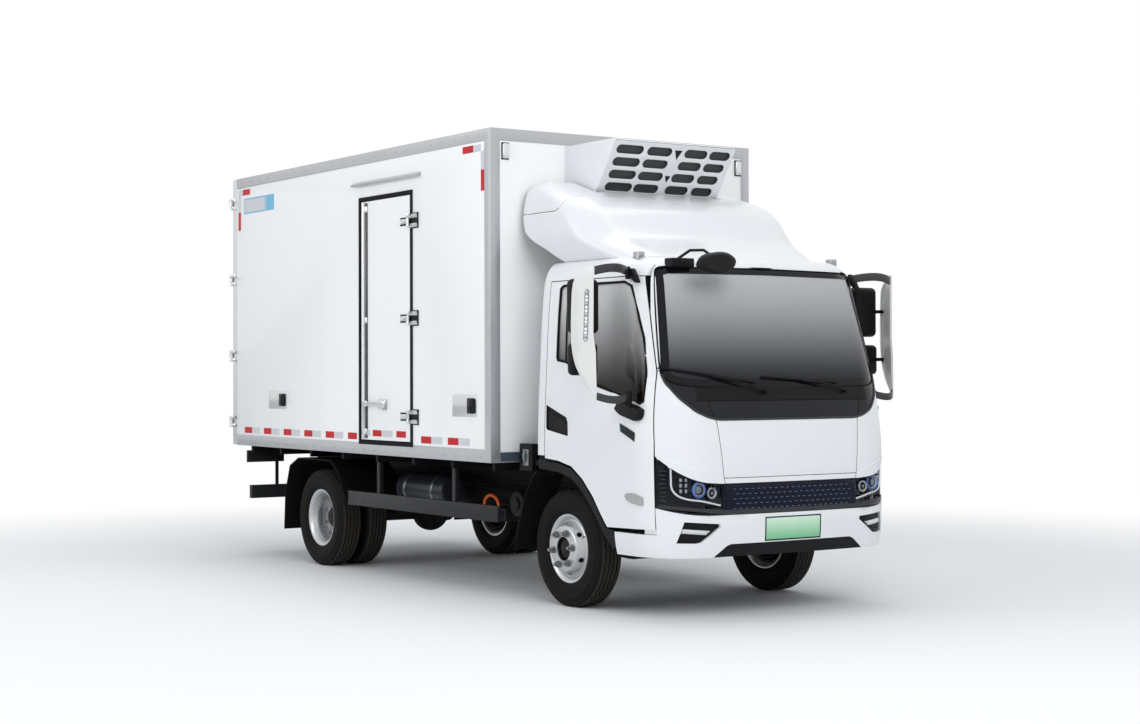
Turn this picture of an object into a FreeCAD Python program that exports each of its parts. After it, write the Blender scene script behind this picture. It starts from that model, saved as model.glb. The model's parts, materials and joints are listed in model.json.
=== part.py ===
import FreeCAD, Part
import math
import os
from FreeCAD import Vector

os.makedirs("parts", exist_ok=True)

# A light refrigerated truck: a tilting cab, an insulated box body with a side door and two
# rear doors, a cooling unit on the box's front wall, and single front and twin rear wheels.
# +X is forward, +Y the truck's left, +Z up. The origin is on the ground under the middle.
# All sizes are in millimetres.

# Driving sizes of the whole truck
OVERALL_LENGTH = 5995.0
FRONT_OVERHANG = 1190.0
WHEELBASE = 3360.0
FRONT_TRACK = 1650.0
REAR_TRACK = 1620.0
TWIN_SPACING = 230.0

# Driving sizes of the tyres and wheels
TYRE_RADIUS = 380.0
TYRE_WIDTH = 196.0
TREAD_WIDTH = 156.0
TYRE_SIDES = 72
RIM_RADIUS = 225.0
BEAD_RADIUS = 203.0
RIM_WIDTH = 154.0
RIM_WALL = 9.0
WELL_RADIUS = 182.0
HUB_BORE_RADIUS = 82.0
BOLT_CIRCLE = 222.25
WHEEL_BOLTS = 6
NUT_RADIUS = 17.0
NUT_HEIGHT = 26.0
HAND_HOLES = 10
HAND_HOLE_RADIUS = 15.0
SPINDLE_RADIUS = 22.0
HUB_CLEARANCE = 0.6
REAR_SPINDLE_RADIUS = 50.0
DRUM_RADIUS = 150.0
DRUM_WALL = 10.0

# Driving sizes of the steering
KINGPIN_OFFSET = 740.0
KINGPIN_RADIUS = 15.0
KINGPIN_CLEARANCE = 0.4
AXLE_BOSS_RADIUS = 32.0
AXLE_BOSS_HEIGHT = 100.0
KNUCKLE_EAR = 34.0
STEER_ARM_LENGTH = 150.0

# Driving sizes of the chassis frame
RAIL_OUTER = 375.0
RAIL_TOP = 740.0
RAIL_HEIGHT = 170.0
RAIL_FLANGE = 62.0
RAIL_WALL = 7.0
RAIL_FRONT_SETBACK = 290.0
RAIL_REAR_INSET = 115.0
SPRING_WIDTH = 70.0
SPRING_PACK = 42.0
FRONT_SPRING_HALF = 560.0
REAR_SPRING_HALF = 600.0
SPRING_EYE_HEIGHT = 505.0

# Driving sizes of the box body
BOX_SETBACK = 602.0
BOX_LENGTH = 4180.0
BOX_WIDTH = 2250.0
BOX_BOTTOM = 924.0
BOX_TOP = 3186.0
WALL = 80.0
FLOOR_THICKNESS = 95.0
EDGE_RAIL = 80.0
EDGE_RAIL_PROUD = 3.0
CORNER_POST = 74.0
REAR_POST = 72.0
BEARER_HEIGHT = 64.0
BEARER_PITCH = 555.0
GUARD_POST = 1270.0
DOOR_PROUD = 23.0

# Driving sizes of the side door, from the front axle
SIDE_DOOR_REAR = 2440.0
SIDE_DOOR_FRONT = 1700.0
SIDE_DOOR_BOTTOM = 1032.0
SIDE_DOOR_TOP = 2818.0
SIDE_DOOR_GAP = 15.0
SIDE_DOOR_HEAD_GAP = 8.0
JAMB_WIDTH = 28.0
HINGE_PIN = 8.0
HINGE_HEIGHTS = (1213.0, 1925.0, 2629.0)

# Driving sizes of the cab
CAB_WALL = 38.0
DOOR_GAP = 6.0
CAB_REAR = -285.0
CAB_FLOOR_LOW = 985.0
CAB_BOW_RADIUS = 8600.0
TILT_PIVOT_X = 980.0
TILT_PIVOT_Z = 500.0
TILT_TUBE_RADIUS = 20.0
GLASS = 6.0
SEAL_SPACE = 16.0
SEAL_START = 850.0
SEAM = 4.0
SEAM_DEPTH = 5.0
LENS = 3.0

# Places that follow from the driving sizes
FRONT_AXLE_X = OVERALL_LENGTH / 2.0 - FRONT_OVERHANG
REAR_AXLE_X = FRONT_AXLE_X - WHEELBASE
AXLE_Z = TYRE_RADIUS
BOX_FRONT_X = FRONT_AXLE_X - BOX_SETBACK
BOX_REAR_X = BOX_FRONT_X - BOX_LENGTH
BOX_HALF = BOX_WIDTH / 2.0
RAIL_BOTTOM = RAIL_TOP - RAIL_HEIGHT
RAIL_FRONT_X = FRONT_AXLE_X + FRONT_OVERHANG - RAIL_FRONT_SETBACK
RAIL_REAR_X = BOX_REAR_X + RAIL_REAR_INSET
FRONT_WHEEL_Y = FRONT_TRACK / 2.0
REAR_OUTER_Y = REAR_TRACK / 2.0 + TWIN_SPACING / 2.0
REAR_INNER_Y = REAR_TRACK / 2.0 - TWIN_SPACING / 2.0
BIG = 9000.0


def fa(x):
    """A place measured forward from the front axle."""
    return FRONT_AXLE_X + x


def box(x0, x1, y0, y1, z0, z1):
    """A rectangular block between two corners."""
    return Part.makeBox(x1 - x0, y1 - y0, z1 - z0, Vector(x0, y0, z0))


def rod(start, end, radius):
    """A round bar between two points."""
    a = Vector(*start)
    b = Vector(*end)
    return Part.makeCylinder(radius, (b - a).Length, a, b - a)


def face_of(points):
    """A flat face on a closed outline."""
    ring = [Vector(*p) for p in points]
    return Part.Face(Part.makePolygon(ring + [ring[0]]))


def side_prism(outline, y0, y1):
    """An outline in X and Z, pushed out from y0 to y1."""
    return face_of([(x, y0, z) for x, z in outline]).extrude(Vector(0, y1 - y0, 0))


def front_prism(outline, x0, x1):
    """An outline in Y and Z, pushed out from x0 to x1."""
    return face_of([(x0, y, z) for y, z in outline]).extrude(Vector(x1 - x0, 0, 0))


def plan_prism(outline, z0, z1):
    """An outline in X and Y, pushed up from z0 to z1."""
    return face_of([(x, y, z0) for x, y in outline]).extrude(Vector(0, 0, z1 - z0))


def mirrored(shape):
    """The same shape on the truck's other side."""
    return shape.mirror(Vector(0, 0, 0), Vector(0, 1, 0))


def fused(shapes):
    """One solid from pieces that touch or overlap."""
    result = shapes[0]
    if len(shapes) > 1:
        result = result.multiFuse(shapes[1:])
    return result.removeSplitter()


def both_sides(shape):
    """A shape and its mirror image, kept as two solids."""
    return Part.makeCompound(shape.Solids + mirrored(shape).Solids)


def save(node, shape):
    """Writes one node and prints its solids and volume in litres."""
    solids = shape.Solids
    out = solids[0] if len(solids) == 1 else Part.makeCompound(solids)
    out.exportStep("parts/" + node + ".step")
    print(node, len(solids), round(shape.Volume / 1e6, 2), shape.isValid())


def spun(profile, x, y, z, side):
    """A profile of (radius, distance out from the wheel's middle plane), turned about the axle."""
    ring = [Vector(x + r, y + side * t, z) for r, t in profile]
    face = Part.Face(Part.makePolygon(ring + [ring[0]]))
    return face.revolve(Vector(x, y, z), Vector(0, 1, 0), 360)


# Tyres

def tyre_profile():
    """Section of a tyre: its foot on the rim's flanges, widest point and tread edge on each side."""
    wide = TYRE_WIDTH / 2.0
    seat = RIM_WIDTH / 2.0 - 1.0
    widest = (TYRE_RADIUS + BEAD_RADIUS) / 2.0 + 8.0
    foot = RIM_RADIUS + 0.3
    tread = TREAD_WIDTH / 2.0 - 4.0
    return [(foot, -seat), (widest, -wide), (TYRE_RADIUS, -tread), (TYRE_RADIUS, tread), (widest, wide), (foot, seat)]


def tyre(x, y):
    """One tyre on the axle height at the given place, a ring of short straight steps."""
    profile = tyre_profile()
    rings = []
    for k in range(TYRE_SIDES):
        a = 2.0 * math.pi * k / TYRE_SIDES
        rings.append([Vector(x + r * math.cos(a), y + t, AXLE_Z + r * math.sin(a)) for r, t in profile])
    faces = []
    for k in range(TYRE_SIDES):
        here, after = rings[k - 1], rings[k]
        for i in range(len(profile)):
            corners = [here[i - 1], here[i], after[i], after[i - 1], here[i - 1]]
            faces.append(Part.Face(Part.makePolygon(corners)))
    solid = Part.makeSolid(Part.makeShell(faces))
    return solid if solid.Volume > 0 else solid.reversed()


# Wheels

def rim_profile():
    """Section of a drop centre rim with its two flanges."""
    half = RIM_WIDTH / 2.0
    inner_bead = BEAD_RADIUS - RIM_WALL
    inner_well = WELL_RADIUS - RIM_WALL
    return [(RIM_RADIUS, -half), (RIM_RADIUS, -half + 7), (BEAD_RADIUS, -half + 13),
            (WELL_RADIUS, -22), (WELL_RADIUS, 20), (BEAD_RADIUS, half - 13),
            (RIM_RADIUS, half - 7), (RIM_RADIUS, half), (RIM_RADIUS - 10, half),
            (inner_bead, half - 16), (inner_well, 16), (inner_well, -18),
            (inner_bead, -half + 16), (RIM_RADIUS - 10, -half)]


def ring_of(shape_maker, count, radius, x, z, phase=0.0):
    """Copies of a small shape at even angles about the axle."""
    shapes = []
    for i in range(count):
        angle = phase + 2.0 * math.pi * i / count
        shapes.append(shape_maker(x + radius * math.cos(angle), z + radius * math.sin(angle), angle))
    return shapes


def nut(x, y, z, angle, out, height):
    """A six sided nut that stands out along the axle direction."""
    points = []
    for k in range(6):
        a = angle + math.pi * k / 3.0
        points.append((x + NUT_RADIUS * math.cos(a), y, z + NUT_RADIUS * math.sin(a)))
    return face_of(points).extrude(Vector(0, out * height, 0))


def front_wheel(side):
    """Domed disc wheel with its hub, brake drum and nuts, on one side of the truck."""
    x = FRONT_AXLE_X
    y = side * FRONT_WHEEL_Y
    well = WELL_RADIUS - RIM_WALL
    face_out = 58.0
    disc_wall = 11.0
    disc = [(well + 2, 14), (152, 40), (130, face_out), (HUB_BORE_RADIUS - 20, face_out),
            (HUB_BORE_RADIUS - 20, face_out - disc_wall), (126, face_out - disc_wall),
            (146, 30), (well + 2, 2)]
    hub_flange = face_out - disc_wall
    bore = SPINDLE_RADIUS + HUB_CLEARANCE
    hub = [(bore, -16), (62, -16), (62, hub_flange - 14), (DRUM_RADIUS, hub_flange - 14),
           (DRUM_RADIUS, hub_flange), (HUB_BORE_RADIUS - 4, hub_flange), (HUB_BORE_RADIUS - 4, 84),
           (52, 104), (0.01, 108), (0.01, 96), (bore, 96)]
    drum = [(DRUM_RADIUS, -50), (DRUM_RADIUS + DRUM_WALL, -50), (DRUM_RADIUS + DRUM_WALL, 20),
            (DRUM_RADIUS, hub_flange), (DRUM_RADIUS - 12, hub_flange), (DRUM_RADIUS - 12, hub_flange - 14),
            (DRUM_RADIUS, 8)]
    parts = [spun(p, x, y, AXLE_Z, side) for p in (rim_profile(), disc, hub, drum)]
    nut_y = y + side * face_out
    parts += ring_of(lambda px, pz, a: nut(px, nut_y, pz, a, side, NUT_HEIGHT),
                     WHEEL_BOLTS, BOLT_CIRCLE / 2.0, x, AXLE_Z)
    wheel = fused(parts)
    holes = ring_of(lambda px, pz, a: Part.makeCylinder(HAND_HOLE_RADIUS, 70.0, Vector(px, y - 20, pz),
                                                        Vector(0, 1, 0)) if side > 0 else
                    Part.makeCylinder(HAND_HOLE_RADIUS, 70.0, Vector(px, y + 20, pz), Vector(0, -1, 0)),
                    HAND_HOLES, 151.0, x, AXLE_Z, math.pi / HAND_HOLES)
    rims_only = [h.common(spun([(135, 22), (DRUM_RADIUS + 30, 22), (DRUM_RADIUS + 30, 60), (135, 60)],
                               x, y, AXLE_Z, side)) for h in holes]
    return wheel.cut(Part.makeCompound(rims_only))


def rear_wheel(side):
    """Twin wheels with dished discs back to back, on one hub with its drum."""
    x = REAR_AXLE_X
    outer = side * REAR_OUTER_Y
    inner = side * REAR_INNER_Y
    half = TWIN_SPACING / 2.0
    well = WELL_RADIUS - RIM_WALL
    disc = [(well + 2, -16), (well - 8, -52), (140, -half + 12), (HUB_BORE_RADIUS - 14, -half + 12),
            (HUB_BORE_RADIUS - 14, -half), (144, -half), (well + 2, -56), (well + 2, -20)]
    bore = REAR_SPINDLE_RADIUS + HUB_CLEARANCE
    hub = [(bore, -half - 190), (HUB_BORE_RADIUS + 10, -half - 190), (HUB_BORE_RADIUS + 10, -half - 40),
           (DRUM_RADIUS - 20, -half - 40), (DRUM_RADIUS - 20, -half - 14), (HUB_BORE_RADIUS - 4, -half - 14),
           (HUB_BORE_RADIUS - 4, -30), (60, -12), (0.01, -10), (0.01, -30), (bore, -30)]
    drum = [(DRUM_RADIUS - 14, -half - 40), (DRUM_RADIUS - 14, -half - 26), (DRUM_RADIUS + DRUM_WALL, -half - 26),
            (DRUM_RADIUS + DRUM_WALL, -half - 170), (DRUM_RADIUS, -half - 170), (DRUM_RADIUS, -half - 40)]
    parts = [spun(rim_profile(), x, outer, AXLE_Z, side), spun(rim_profile(), x, inner, AXLE_Z, side),
             spun(disc, x, outer, AXLE_Z, side), spun(disc, x, inner, AXLE_Z, -side),
             spun(hub, x, outer, AXLE_Z, side), spun(drum, x, outer, AXLE_Z, side)]
    nut_y = outer - side * (half - 12)
    parts += ring_of(lambda px, pz, a: nut(px, nut_y, pz, a, side, NUT_HEIGHT + 8),
                     WHEEL_BOLTS, BOLT_CIRCLE / 2.0, x, AXLE_Z)
    wheel = fused(parts)
    holes = ring_of(lambda px, pz, a: rod((px, outer - 70, pz), (px, outer + 70, pz), HAND_HOLE_RADIUS),
                    HAND_HOLES, 152.0, x, AXLE_Z, math.pi / HAND_HOLES)
    return wheel.cut(Part.makeCompound([h.common(box(-BIG, BIG, min(outer - side * 100, outer - side * 30),
                                                     max(outer - side * 100, outer - side * 30), 0, BIG))
                                        for h in holes]))


# Axles and steering

def front_axle():
    """Forged beam that drops between the springs, with a boss and king pin at each end."""
    beam_top = 362.0
    ends = KINGPIN_OFFSET - AXLE_BOSS_RADIUS + 6.0
    outline = [(-ends, AXLE_Z + 26), (-560, AXLE_Z + 8), (-RAIL_OUTER - 30, beam_top), (RAIL_OUTER + 30, beam_top),
               (560, AXLE_Z + 8), (ends, AXLE_Z + 26), (ends, AXLE_Z - 34), (560, AXLE_Z - 58),
               (RAIL_OUTER + 30, beam_top - 78), (-RAIL_OUTER - 30, beam_top - 78), (-560, AXLE_Z - 58),
               (-ends, AXLE_Z - 34)]
    beam = front_prism(outline, FRONT_AXLE_X - 34, FRONT_AXLE_X + 34)
    parts = [beam]
    half_boss = AXLE_BOSS_HEIGHT / 2.0
    for side in (-1, 1):
        y = side * KINGPIN_OFFSET
        parts.append(rod((FRONT_AXLE_X, y, AXLE_Z - half_boss), (FRONT_AXLE_X, y, AXLE_Z + half_boss),
                         AXLE_BOSS_RADIUS))
        parts.append(rod((FRONT_AXLE_X, y, AXLE_Z - half_boss - 40), (FRONT_AXLE_X, y, AXLE_Z + half_boss + 40),
                         KINGPIN_RADIUS))
        seat_y = side * (RAIL_OUTER - 15 - SPRING_WIDTH / 2.0)
        parts.append(box(FRONT_AXLE_X - 60, FRONT_AXLE_X + 60, seat_y - 42, seat_y + 42, beam_top - 20,
                         AXLE_Z))
    return fused(parts)


def knuckle(side):
    """Steering knuckle: two ears on the king pin, a spindle to the hub and an arm for the tie rod."""
    y = side * KINGPIN_OFFSET
    x = FRONT_AXLE_X
    half_boss = AXLE_BOSS_HEIGHT / 2.0
    ear_low = AXLE_Z - half_boss - 36.0
    ear_high = AXLE_Z + half_boss + 36.0
    web_in = AXLE_BOSS_RADIUS + 8.0
    parts = []
    for low, high in ((ear_low, AXLE_Z - half_boss - 2.0), (AXLE_Z + half_boss + 2.0, ear_high)):
        parts.append(rod((x, y, low), (x, y, high), KNUCKLE_EAR))
        parts.append(box(x - KNUCKLE_EAR, x + KNUCKLE_EAR, min(y, y + side * (web_in + 10)),
                         max(y, y + side * (web_in + 10)), low, high))
    parts.append(box(x - KNUCKLE_EAR - 8, x + KNUCKLE_EAR + 8, min(y + side * web_in, y + side * (web_in + 22)),
                     max(y + side * web_in, y + side * (web_in + 22)), ear_low, ear_high))
    spindle_end = side * (FRONT_WHEEL_Y + 84.0)
    parts.append(rod((x, y + side * web_in, AXLE_Z), (x, spindle_end, AXLE_Z), SPINDLE_RADIUS))
    arm_y = y - side * 40.0
    arm = plan_prism([(x - 20, y - side * 24), (x - STEER_ARM_LENGTH - 10, arm_y - side * 20),
                      (x - STEER_ARM_LENGTH - 10, arm_y + side * 20), (x - 20, y + side * 30)],
                     ear_low, ear_low + 24.0)
    parts.append(arm)
    body = fused(parts)
    bore = rod((x, y, ear_low - 10), (x, y, ear_high + 10), KINGPIN_RADIUS + KINGPIN_CLEARANCE)
    ball = rod((x - STEER_ARM_LENGTH + 8, arm_y, ear_low - 5), (x - STEER_ARM_LENGTH + 8, arm_y, ear_low + 40), 9.0)
    return body.cut(Part.makeCompound([bore, ball]))


def rear_axle():
    """Driven axle: a tube with a round gear case, spring seats and spindles into the hubs."""
    hub_side = REAR_TRACK / 2.0
    parts = [rod((REAR_AXLE_X, -hub_side + 200, AXLE_Z), (REAR_AXLE_X, hub_side - 200, AXLE_Z), 52.0),
             rod((REAR_AXLE_X, -hub_side - 40, AXLE_Z), (REAR_AXLE_X, hub_side + 40, AXLE_Z), REAR_SPINDLE_RADIUS),
             Part.makeSphere(150.0, Vector(REAR_AXLE_X, 0, AXLE_Z)),
             rod((REAR_AXLE_X, 0, AXLE_Z), (REAR_AXLE_X + 280, 0, AXLE_Z + 20), 70.0)]
    for side in (-1, 1):
        seat_y = side * (RAIL_OUTER - 15 - SPRING_WIDTH / 2.0)
        parts.append(box(REAR_AXLE_X - 65, REAR_AXLE_X + 65, seat_y - 42, seat_y + 42, AXLE_Z, AXLE_Z + 62))
    return fused(parts)


def leaf_spring(x, half, seat_z, side):
    """A pack of spring leaves, bent from eye to eye over its seat."""
    y = side * (RAIL_OUTER - 15 - SPRING_WIDTH / 2.0)
    low = y - SPRING_WIDTH / 2.0
    high = y + SPRING_WIDTH / 2.0
    eye_z = SPRING_EYE_HEIGHT

    def band(z_mid, z_end, reach, height):
        bottom = Part.Arc(Vector(x - reach, low, z_end), Vector(x, low, z_mid), Vector(x + reach, low, z_end))
        top = Part.Arc(Vector(x + reach, low, z_end + height), Vector(x, low, z_mid + height),
                       Vector(x - reach, low, z_end + height))
        edges = [bottom.toShape(),
                 Part.LineSegment(Vector(x + reach, low, z_end), Vector(x + reach, low, z_end + height)).toShape(),
                 top.toShape(),
                 Part.LineSegment(Vector(x - reach, low, z_end + height), Vector(x - reach, low, z_end)).toShape()]
        return Part.Face(Part.Wire(edges)).extrude(Vector(0, SPRING_WIDTH, 0))

    leaf = SPRING_PACK / 3.0
    rise = eye_z - leaf / 2.0 - (seat_z + 2 * leaf)
    parts = [band(seat_z + 2 * leaf, eye_z - leaf / 2.0, half, leaf),
             band(seat_z + leaf, seat_z + leaf + rise * 0.5, half * 0.72, leaf + 1.0),
             band(seat_z, seat_z + rise * 0.16, half * 0.42, leaf + 1.0)]
    for end in (-1, 1):
        parts.append(rod((x + end * half, low, eye_z), (x + end * half, high, eye_z), 22.0))
    return fused(parts)


# Chassis frame

def channel_rail(side):
    """One long side rail of channel section, open to the inside."""
    outer = side * RAIL_OUTER
    inner = side * (RAIL_OUTER - RAIL_FLANGE)
    web = side * (RAIL_OUTER - RAIL_WALL)
    outline = [(outer, RAIL_BOTTOM), (outer, RAIL_TOP), (inner, RAIL_TOP), (inner, RAIL_TOP - RAIL_WALL),
               (web, RAIL_TOP - RAIL_WALL), (web, RAIL_BOTTOM + RAIL_WALL), (inner, RAIL_BOTTOM + RAIL_WALL),
               (inner, RAIL_BOTTOM)]
    return front_prism(outline, RAIL_REAR_X, RAIL_FRONT_X)


def spring_hanger(x, side):
    """Two cheeks under a rail that hold a spring eye between them."""
    y = side * (RAIL_OUTER - 15 - SPRING_WIDTH / 2.0)
    cheeks = []
    for end in (-1, 1):
        face_y = y + end * (SPRING_WIDTH / 2.0)
        cheeks.append(side_prism([(x - 46, RAIL_BOTTOM + 2), (x + 46, RAIL_BOTTOM + 2), (x + 26, SPRING_EYE_HEIGHT - 28),
                                  (x - 26, SPRING_EYE_HEIGHT - 28)], min(face_y, face_y + end * 9),
                                 max(face_y, face_y + end * 9)))
    cap = box(x - 46, x + 46, y - SPRING_WIDTH / 2.0 - 9, y + SPRING_WIDTH / 2.0 + 9, RAIL_BOTTOM - 10, RAIL_BOTTOM + 2)
    return fused(cheeks + [cap])


def frame_ladder():
    """Two channel rails, tubes and plates across them, spring hangers and the cab's pivot brackets."""
    parts = [channel_rail(1), channel_rail(-1)]
    inner = RAIL_OUTER - RAIL_WALL / 2.0
    mid = (RAIL_TOP + RAIL_BOTTOM) / 2.0
    stations = [RAIL_FRONT_X - 60, fa(300), fa(-560), fa(-1400), fa(-2300), REAR_AXLE_X + 520,
                REAR_AXLE_X - 560, RAIL_REAR_X + 60]
    for x in stations:
        parts.append(rod((x, -inner, mid), (x, inner, mid), 38.0))
    for side in (-1, 1):
        for x, half in ((FRONT_AXLE_X, FRONT_SPRING_HALF), (REAR_AXLE_X, REAR_SPRING_HALF)):
            parts.append(spring_hanger(x - half, side))
            parts.append(spring_hanger(x + half, side))
        y = side * (RAIL_OUTER - 20)
        bracket = side_prism([(RAIL_FRONT_X - 120, RAIL_TOP - 30), (RAIL_FRONT_X - 120, RAIL_BOTTOM + 10),
                              (fa(TILT_PIVOT_X) - 40, TILT_PIVOT_Z - 36), (fa(TILT_PIVOT_X) + 20, TILT_PIVOT_Z - 36),
                              (fa(TILT_PIVOT_X) + 40, TILT_PIVOT_Z), (fa(TILT_PIVOT_X) + 30, TILT_PIVOT_Z + 40),
                              (RAIL_FRONT_X, RAIL_TOP - 30)], y - 22, y + 22)
        parts.append(bracket)
    tube = rod((fa(TILT_PIVOT_X), -RAIL_OUTER - 75, TILT_PIVOT_Z), (fa(TILT_PIVOT_X), RAIL_OUTER + 75, TILT_PIVOT_Z),
               TILT_TUBE_RADIUS)
    parts.append(tube)
    return fused(parts)


def cab_rear_mounts():
    """Portal behind the cab that carries its rear end, on the rails."""
    x = fa(CAB_REAR) - 60
    top = 955.0
    parts = [box(x - 35, x + 35, -RAIL_OUTER - 60, RAIL_OUTER + 60, top - 60, top)]
    for side in (-1, 1):
        y = side * (RAIL_OUTER + 4)
        parts.append(box(x - 35, x + 35, min(y, y + side * 8), max(y, y + side * 8), RAIL_BOTTOM + 30, top - 40))
        parts.append(box(x - 35, fa(-130), side * 330 - 30, side * 330 + 30, top - 10, CAB_FLOOR_LOW))
    return fused(parts)


# Box body

def box_floor():
    """Insulated floor on long runners and cross bearers that sit on the frame rails."""
    deck = box(BOX_REAR_X + WALL + 2, BOX_FRONT_X - WALL, -BOX_HALF + WALL, BOX_HALF - WALL, BOX_BOTTOM,
               BOX_BOTTOM + FLOOR_THICKNESS)
    parts = [deck]
    bearer_low = BOX_BOTTOM - BEARER_HEIGHT
    x = fa(-GUARD_POST) + BEARER_PITCH
    while x > BOX_REAR_X + 30:
        parts.append(box(x - 20, x + 20, -BOX_HALF + 95, BOX_HALF - 95, bearer_low, BOX_BOTTOM))
        x -= BEARER_PITCH
    for side in (-1, 1):
        y = side * (RAIL_OUTER - RAIL_FLANGE / 2.0)
        parts.append(box(BOX_REAR_X + 90, BOX_FRONT_X - 60, y - 25, y + 25, RAIL_TOP, bearer_low))
    return fused(parts)


def box_front_wall():
    """Insulated front wall between the corner posts."""
    return box(BOX_FRONT_X - WALL, BOX_FRONT_X, -BOX_HALF + WALL, BOX_HALF - WALL, BOX_BOTTOM, BOX_TOP - WALL)


def side_wall(side):
    """Insulated side wall from the front posts to the rear frame."""
    y_out = side * BOX_HALF
    y_in = side * (BOX_HALF - WALL)
    return box(BOX_REAR_X + WALL + 2, BOX_FRONT_X, min(y_out, y_in), max(y_out, y_in), BOX_BOTTOM, BOX_TOP - WALL)


def door_leaf_span():
    """Rear and front edge of the side door's leaf."""
    return fa(-SIDE_DOOR_REAR), fa(-SIDE_DOOR_FRONT)


def jamb_opening(extra):
    """Block through the right wall in the size of the door opening, made larger by a distance."""
    rear, front = door_leaf_span()
    return box(rear - SIDE_DOOR_GAP - extra, front + SIDE_DOOR_HEAD_GAP + extra, -BOX_HALF - 40,
               -BOX_HALF + WALL + 40, SIDE_DOOR_BOTTOM - SIDE_DOOR_HEAD_GAP - extra,
               SIDE_DOOR_TOP + SIDE_DOOR_HEAD_GAP + extra)


def box_right_wall():
    """Right wall with the side door's opening."""
    return side_wall(-1).cut(jamb_opening(JAMB_WIDTH))


def side_door_frame():
    """Jamb that lines the opening, with a flange on the outside and hinge lugs on its front edge."""
    ring = jamb_opening(JAMB_WIDTH).cut(jamb_opening(0))
    ring = ring.common(box(-BIG, BIG, -BOX_HALF - 6, -BOX_HALF + WALL, 0, BIG))
    front = door_leaf_span()[1]
    parts = [ring]
    pin_x = front + SIDE_DOOR_HEAD_GAP / 2.0
    pin_y = -BOX_HALF - 20.0
    for z in HINGE_HEIGHTS:
        for end in (-1, 1):
            low = z + end * 34 - 14
            lug = fused([box(pin_x + 10, pin_x + 110, -BOX_HALF - 12, -BOX_HALF - 6, low, low + 28),
                         box(pin_x, pin_x + 24, pin_y - 8, -BOX_HALF - 6, low, low + 28),
                         rod((pin_x, pin_y, low), (pin_x, pin_y, low + 28), HINGE_PIN + 6)])
            parts.append(lug)
        parts.append(rod((pin_x, pin_y, z - 48), (pin_x, pin_y, z + 48), HINGE_PIN))
    return fused(parts)


def side_door():
    """Side door leaf with its three hinge blades, lock rod and handle."""
    rear, front = door_leaf_span()
    leaf = box(rear, front, -BOX_HALF - 4, -BOX_HALF + WALL - 2, SIDE_DOOR_BOTTOM, SIDE_DOOR_TOP)
    parts = [leaf]
    pin_x = front + SIDE_DOOR_HEAD_GAP / 2.0
    pin_y = -BOX_HALF - 20.0
    for z in HINGE_HEIGHTS:
        blade = box(front - 130, pin_x, -BOX_HALF - 12, -BOX_HALF - 4, z - 18, z + 18)
        knuckle_ring = rod((pin_x, pin_y, z - 18), (pin_x, pin_y, z + 18), HINGE_PIN + 6)
        neck = box(pin_x - 16, pin_x, pin_y - 6, -BOX_HALF - 4, z - 18, z + 18)
        parts += [blade, neck, knuckle_ring]
    rod_x = rear + 70
    rod_y = -BOX_HALF - 24.0
    parts.append(rod((rod_x, rod_y, SIDE_DOOR_BOTTOM + 8), (rod_x, rod_y, SIDE_DOOR_TOP - 8), 12.0))
    for z in (SIDE_DOOR_BOTTOM + 60, 1300.0, 1925.0, SIDE_DOOR_TOP - 60):
        parts.append(box(rod_x - 26, rod_x + 26, rod_y - 4, -BOX_HALF - 4, z - 22, z + 22))
    parts.append(box(rod_x, rod_x + 330, rod_y - 18, rod_y - 6, 1288, 1312))
    parts.append(box(rod_x + 250, rod_x + 330, rod_y - 10, -BOX_HALF - 4, 1262, 1338))
    door = fused(parts)
    bores = [rod((pin_x, pin_y, z - 60), (pin_x, pin_y, z + 60), HINGE_PIN + 0.4) for z in HINGE_HEIGHTS]
    return door.cut(Part.makeCompound(bores))


def box_roof():
    """Insulated roof over the walls."""
    return box(BOX_REAR_X + WALL + 2, BOX_FRONT_X, -BOX_HALF, BOX_HALF, BOX_TOP - WALL, BOX_TOP)


def edge_rails():
    """Aluminium rails along the long edges and posts up the front corners."""
    proud = EDGE_RAIL_PROUD
    wall_out = BOX_HALF + proud
    rear = BOX_REAR_X + WALL + 2
    front = BOX_FRONT_X + proud
    low = BOX_BOTTOM - proud
    high = BOX_TOP + proud
    parts = []
    for side in (-1, 1):
        a = side * BOX_HALF
        b = side * wall_out
        y0, y1 = min(a, b), max(a, b)
        parts.append(box(rear, front, y0, y1, low, BOX_BOTTOM + EDGE_RAIL + 6))
        parts.append(box(rear, front, y0, y1, BOX_TOP - EDGE_RAIL, high))
        parts.append(box(BOX_FRONT_X - CORNER_POST, front, y0, y1, low, high))
        c = side * (BOX_HALF - CORNER_POST)
        parts.append(box(BOX_FRONT_X, front, min(b, c), max(b, c), low, high))
        d = side * (BOX_HALF - EDGE_RAIL)
        parts.append(box(rear, front, min(b, d), max(b, d), BOX_TOP, high))
        parts.append(box(rear, front, min(b, d), max(b, d), low, BOX_BOTTOM))
    parts.append(box(BOX_FRONT_X, front, -wall_out, wall_out, BOX_TOP - EDGE_RAIL, high))
    parts.append(box(BOX_FRONT_X, front, -wall_out, wall_out, low, BOX_BOTTOM + EDGE_RAIL - 12))
    parts.append(box(BOX_FRONT_X - EDGE_RAIL, front, -wall_out, wall_out, BOX_TOP, high))
    return fused(parts).cut(jamb_opening(JAMB_WIDTH))


def hinge_line(side):
    """Place in X and Y of the rear door's hinge pins."""
    return BOX_REAR_X - 9.0, side * (BOX_HALF + 15.0)


REAR_HINGE_HEIGHTS = (1120.0, 1680.0, 2330.0, 2980.0)


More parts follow.
